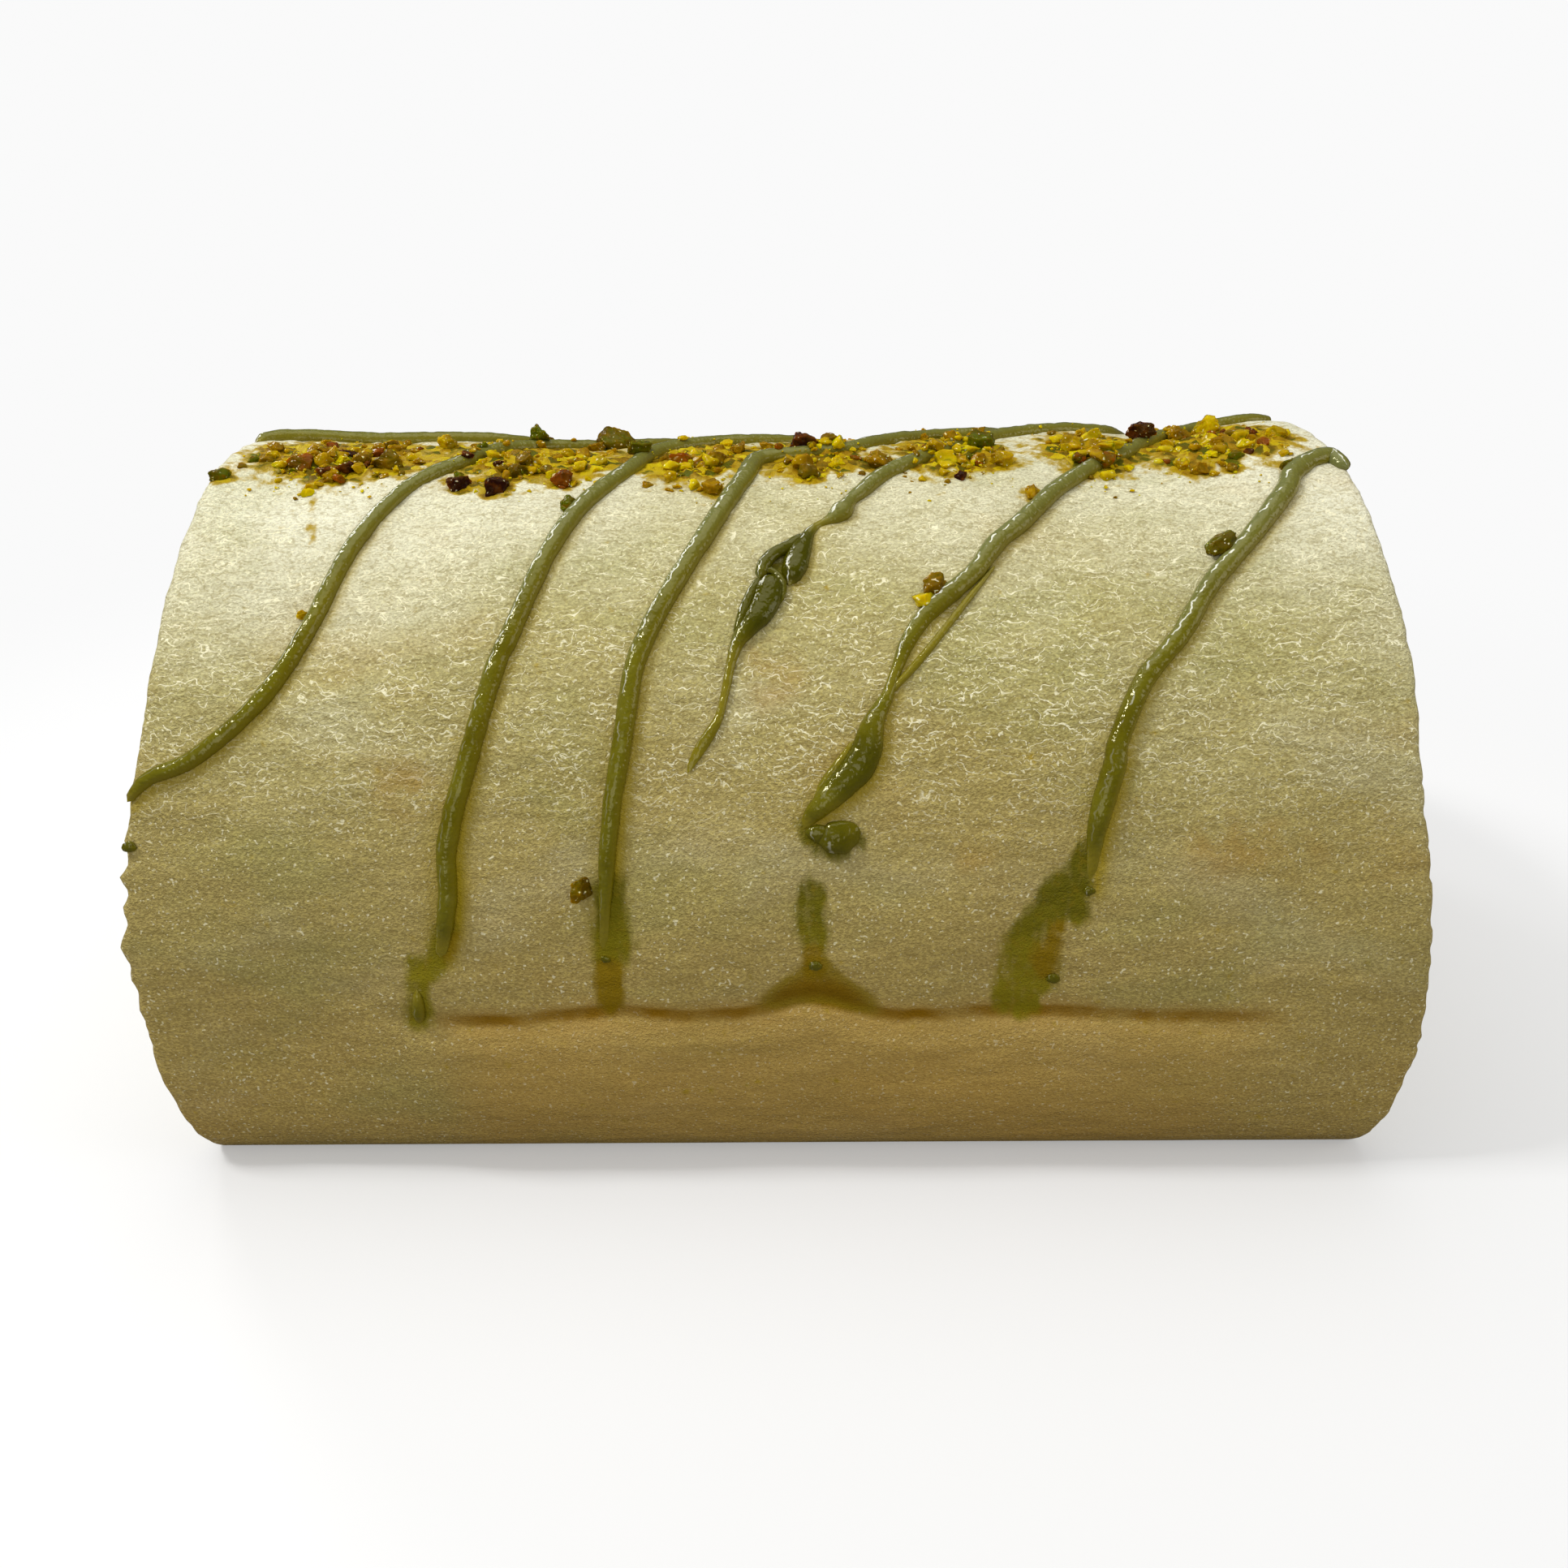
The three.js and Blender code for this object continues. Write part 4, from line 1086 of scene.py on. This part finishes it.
def buildPistachios(material):
    spots, halves = strokeSpots(creamStrokes)
    tree = spotTree(spots)

    def onCream(nut):
        # how far a crumb that falls on a stroke is raised
        _, index, distance = tree.find(rollPoint(nut[0], nut[1]))
        return math.sqrt(max(0.0, float(halves[index]) ** 2 - distance ** 2))

    nuts = [choppedNut(nut, 500 + i, 3, chunkTones[i], 0.6, onCream(nut))
            for i, nut in enumerate(pistachioChunks)]
    for i, nut in enumerate(strewnNuts()):
        pick = chance(900 + i)
        tone = 0.05 + 0.5 * pick if pick < 0.8 else 0.45 + 0.55 * chance(950 + i)
        nuts.append(choppedNut(nut, 700 + i, 3, tone, 0.4, 0.0))
    crumbs = []
    for kind, settings in looseNuts.items():
        for i, (nut, pile) in enumerate(scattered(*settings)):
            lift = onCream(nut)
            if kind == "crumbs":
                pick = chance(3000 + i)
                tone = 0.02 + 0.5 * pick if pick < 0.86 else 0.5 + 0.5 * chance(3500 + i)
                look = (4000 + i, 2 if nut[2] > 1.7 else 1, tone, 0.3)
            elif lift > 0 and nut[1] >= 9:
                continue  # the low ends of the strokes stay clean
            elif kind == "bits":
                look = (5500 + i, 1, 0.02 + 0.44 * chance(5800 + i), 0.2)
            else:
                look = (8000 + i, 0, 0.24 * chance(9000 + i), 0.0)
            crumbs.append(choppedNut(nut, *look, max(pile, lift)))
    for name, parts in (("choppedPistachios", nuts), ("pistachioCrumbs", crumbs)):
        makeJoined(name, parts, ("nutTone", "husk"), material)


def makePistachioMaterial():
    look = pistachioLook
    material, shade, surface = newMaterial("choppedPistachio", look)
    place = shade.place()
    mottled = shade.wave(place, 420, 3, 0.5, rough=0.65)
    tone = shade.math("ADD", shade.field("nutTone"), mottled, clamp=True)
    shade.colour = nutColour(shade, tone)
    shade.over(shade.times(shade.field("husk"), 0.75), "huskBrown")
    # painted pin-point glints
    shade.wash(shade.cloud(place, 1900, 0), 0.74, 0.8, 0.6, "glint")
    surface.inputs["Roughness"].default_value = look["roughness"]
    addGlow(surface, look)
    finishSurface(shade, surface, look, shade.cloud(place, 1100))
    return material


studio = {
    "floorColour": (0.93, 0.93, 0.925),
    "floorPatches": (0.86, 0.86, 0.85),
    "farColour": (0.955, 0.955, 0.955),
    "shadeColour": (0.22, 0.2, 0.17),
    "floorReach": 4.0,
    "worldStrength": 0.4,
    "mirroredStrength": 0.1,
    "cameraPlace": (-0.0003, -0.2364, 0.159),
    "cameraDown": 27.0,
    "cameraRoll": 0.3,
    "focalPixels": 1650.0,
    "framePixels": 1932.0,
}

# Each lamp's place, the height that it is aimed at, its power and its size.
lamps = {
    "overheadLamp": [(0.02, 0.1, 0.75), 0.05, 1.6, 0.7],
    "keyLamp": [(-0.56, -0.1, 0.85), 0.05, 3.5, 0.19],
    "glintLamp": [(-0.5, -0.16, 0.86), 0.05, 0.45, 0.045],
    "rearLamp": [(-0.62, 0.68, 0.62), 0.08, 1.8, 0.26],
    "frontLamp": [(-0.1, -0.95, 0.42), 0.05, 1.7, 0.6],
    "sideLamp": [(0.95, -0.25, 0.5), 0.05, 1.6, 0.6],
}


def buildStudio():
    look = studio
    scene = bpy.context.scene
    scene.view_settings.view_transform = "Standard"
    world = scene.world or bpy.data.worlds.new("paleStudio")
    scene.world = world
    world.use_nodes = True
    # soft even light, with a plain bright background behind the part
    shade = Shade(world.node_tree, look)
    world.node_tree.nodes.clear()
    path = shade.node("LightPath")
    seen = path.outputs["Is Camera Ray"]
    strength = shade.remap(path.outputs["Is Glossy Ray"], 0, 1, look["worldStrength"],
                           look["mirroredStrength"], smooth=False)
    backdrop = shade.node("Background", {"Color": shade.mix(seen, (1, 1, 1), "farColour"),
                                         "Strength": shade.math("MAXIMUM", strength, seen)})
    shade.node("OutputWorld", {"Surface": backdrop.outputs[0]})
    buildFloor()
    for name, settings in lamps.items():
        addLamp(name, *settings)
    buildCamera()
    print("studio lamps", len(lamps))


def buildFloor():
    # a plain pale floor that reads as the background far off and throws little light back up
    look = studio
    material, shade, surface = newMaterial("paleFloor", look)
    tint = shade.mix(shade.remap(shade.cloud(shade.place(), 6, 4), 0.3, 0.7, 0, 0.04),
                     "floorColour", "floorPatches")
    seen = shade.node("LightPath").outputs["Is Camera Ray"]
    shade.put(surface.inputs["Base Color"], shade.mix(seen, "shadeColour", tint))
    surface.inputs["Roughness"].default_value = 0.8
    surface.inputs["Specular IOR Level"].default_value = 0.1
    distance = shade.node("VectorMath", {0: shade.place()}, operation="LENGTH").outputs["Value"]
    away = shade.times(shade.remap(distance, 0.1, 0.36, 0.3, 1), seen)
    glow = shade.node("Emission", {"Color": "farColour"})
    blend = shade.node("MixShader", {0: away, 1: surface.outputs[0], 2: glow.outputs[0]})
    shade.put(shade.output.inputs["Surface"], blend.outputs[0])
    mesh = bpy.data.meshes.new("paleFloor")
    reach = look["floorReach"]
    corners = [(-reach, -reach, 0), (reach, -reach, 0), (reach, reach, 0), (-reach, reach, 0)]
    mesh.from_pydata(corners, [], [(0, 1, 2, 3)])
    mesh.materials.append(material)
    floor = bpy.data.objects.new("paleFloor", mesh)
    bpy.context.scene.collection.objects.link(floor)


def buildCamera():
    look = studio
    lens = bpy.data.cameras.new("photoCamera")
    camera = bpy.data.objects.new("photoCamera", lens)
    bpy.context.scene.collection.objects.link(camera)
    lens.sensor_width = 36.0
    lens.lens = look["focalPixels"] / look["framePixels"] * lens.sensor_width
    lens.clip_start = 0.01
    camera.location = look["cameraPlace"]
    tilt = Matrix.Rotation(math.radians(90 - look["cameraDown"]), 4, "X")
    swing = Matrix.Rotation(math.radians(-look["cameraRoll"]), 4, "Z")
    camera.matrix_world = Matrix.Translation(look["cameraPlace"]) @ tilt @ swing
    bpy.context.scene.camera = camera


def addLamp(name, place, aimHeight, power, size):
    light = bpy.data.lights.new(name, "AREA")
    light.energy, light.shape, light.size = power, "DISK", size
    lamp = bpy.data.objects.new(name, light)
    bpy.context.scene.collection.objects.link(lamp)
    lamp.location = place
    lamp.rotation_mode = "QUATERNION"
    lamp.rotation_quaternion = (Vector((0, 0, aimHeight)) - Vector(place)).to_track_quat("-Z", "Y")


buildSkin(makeMeringueMaterial())
buildCream(makeCreamMaterial())
buildPistachios(makePistachioMaterial())
buildStudio()
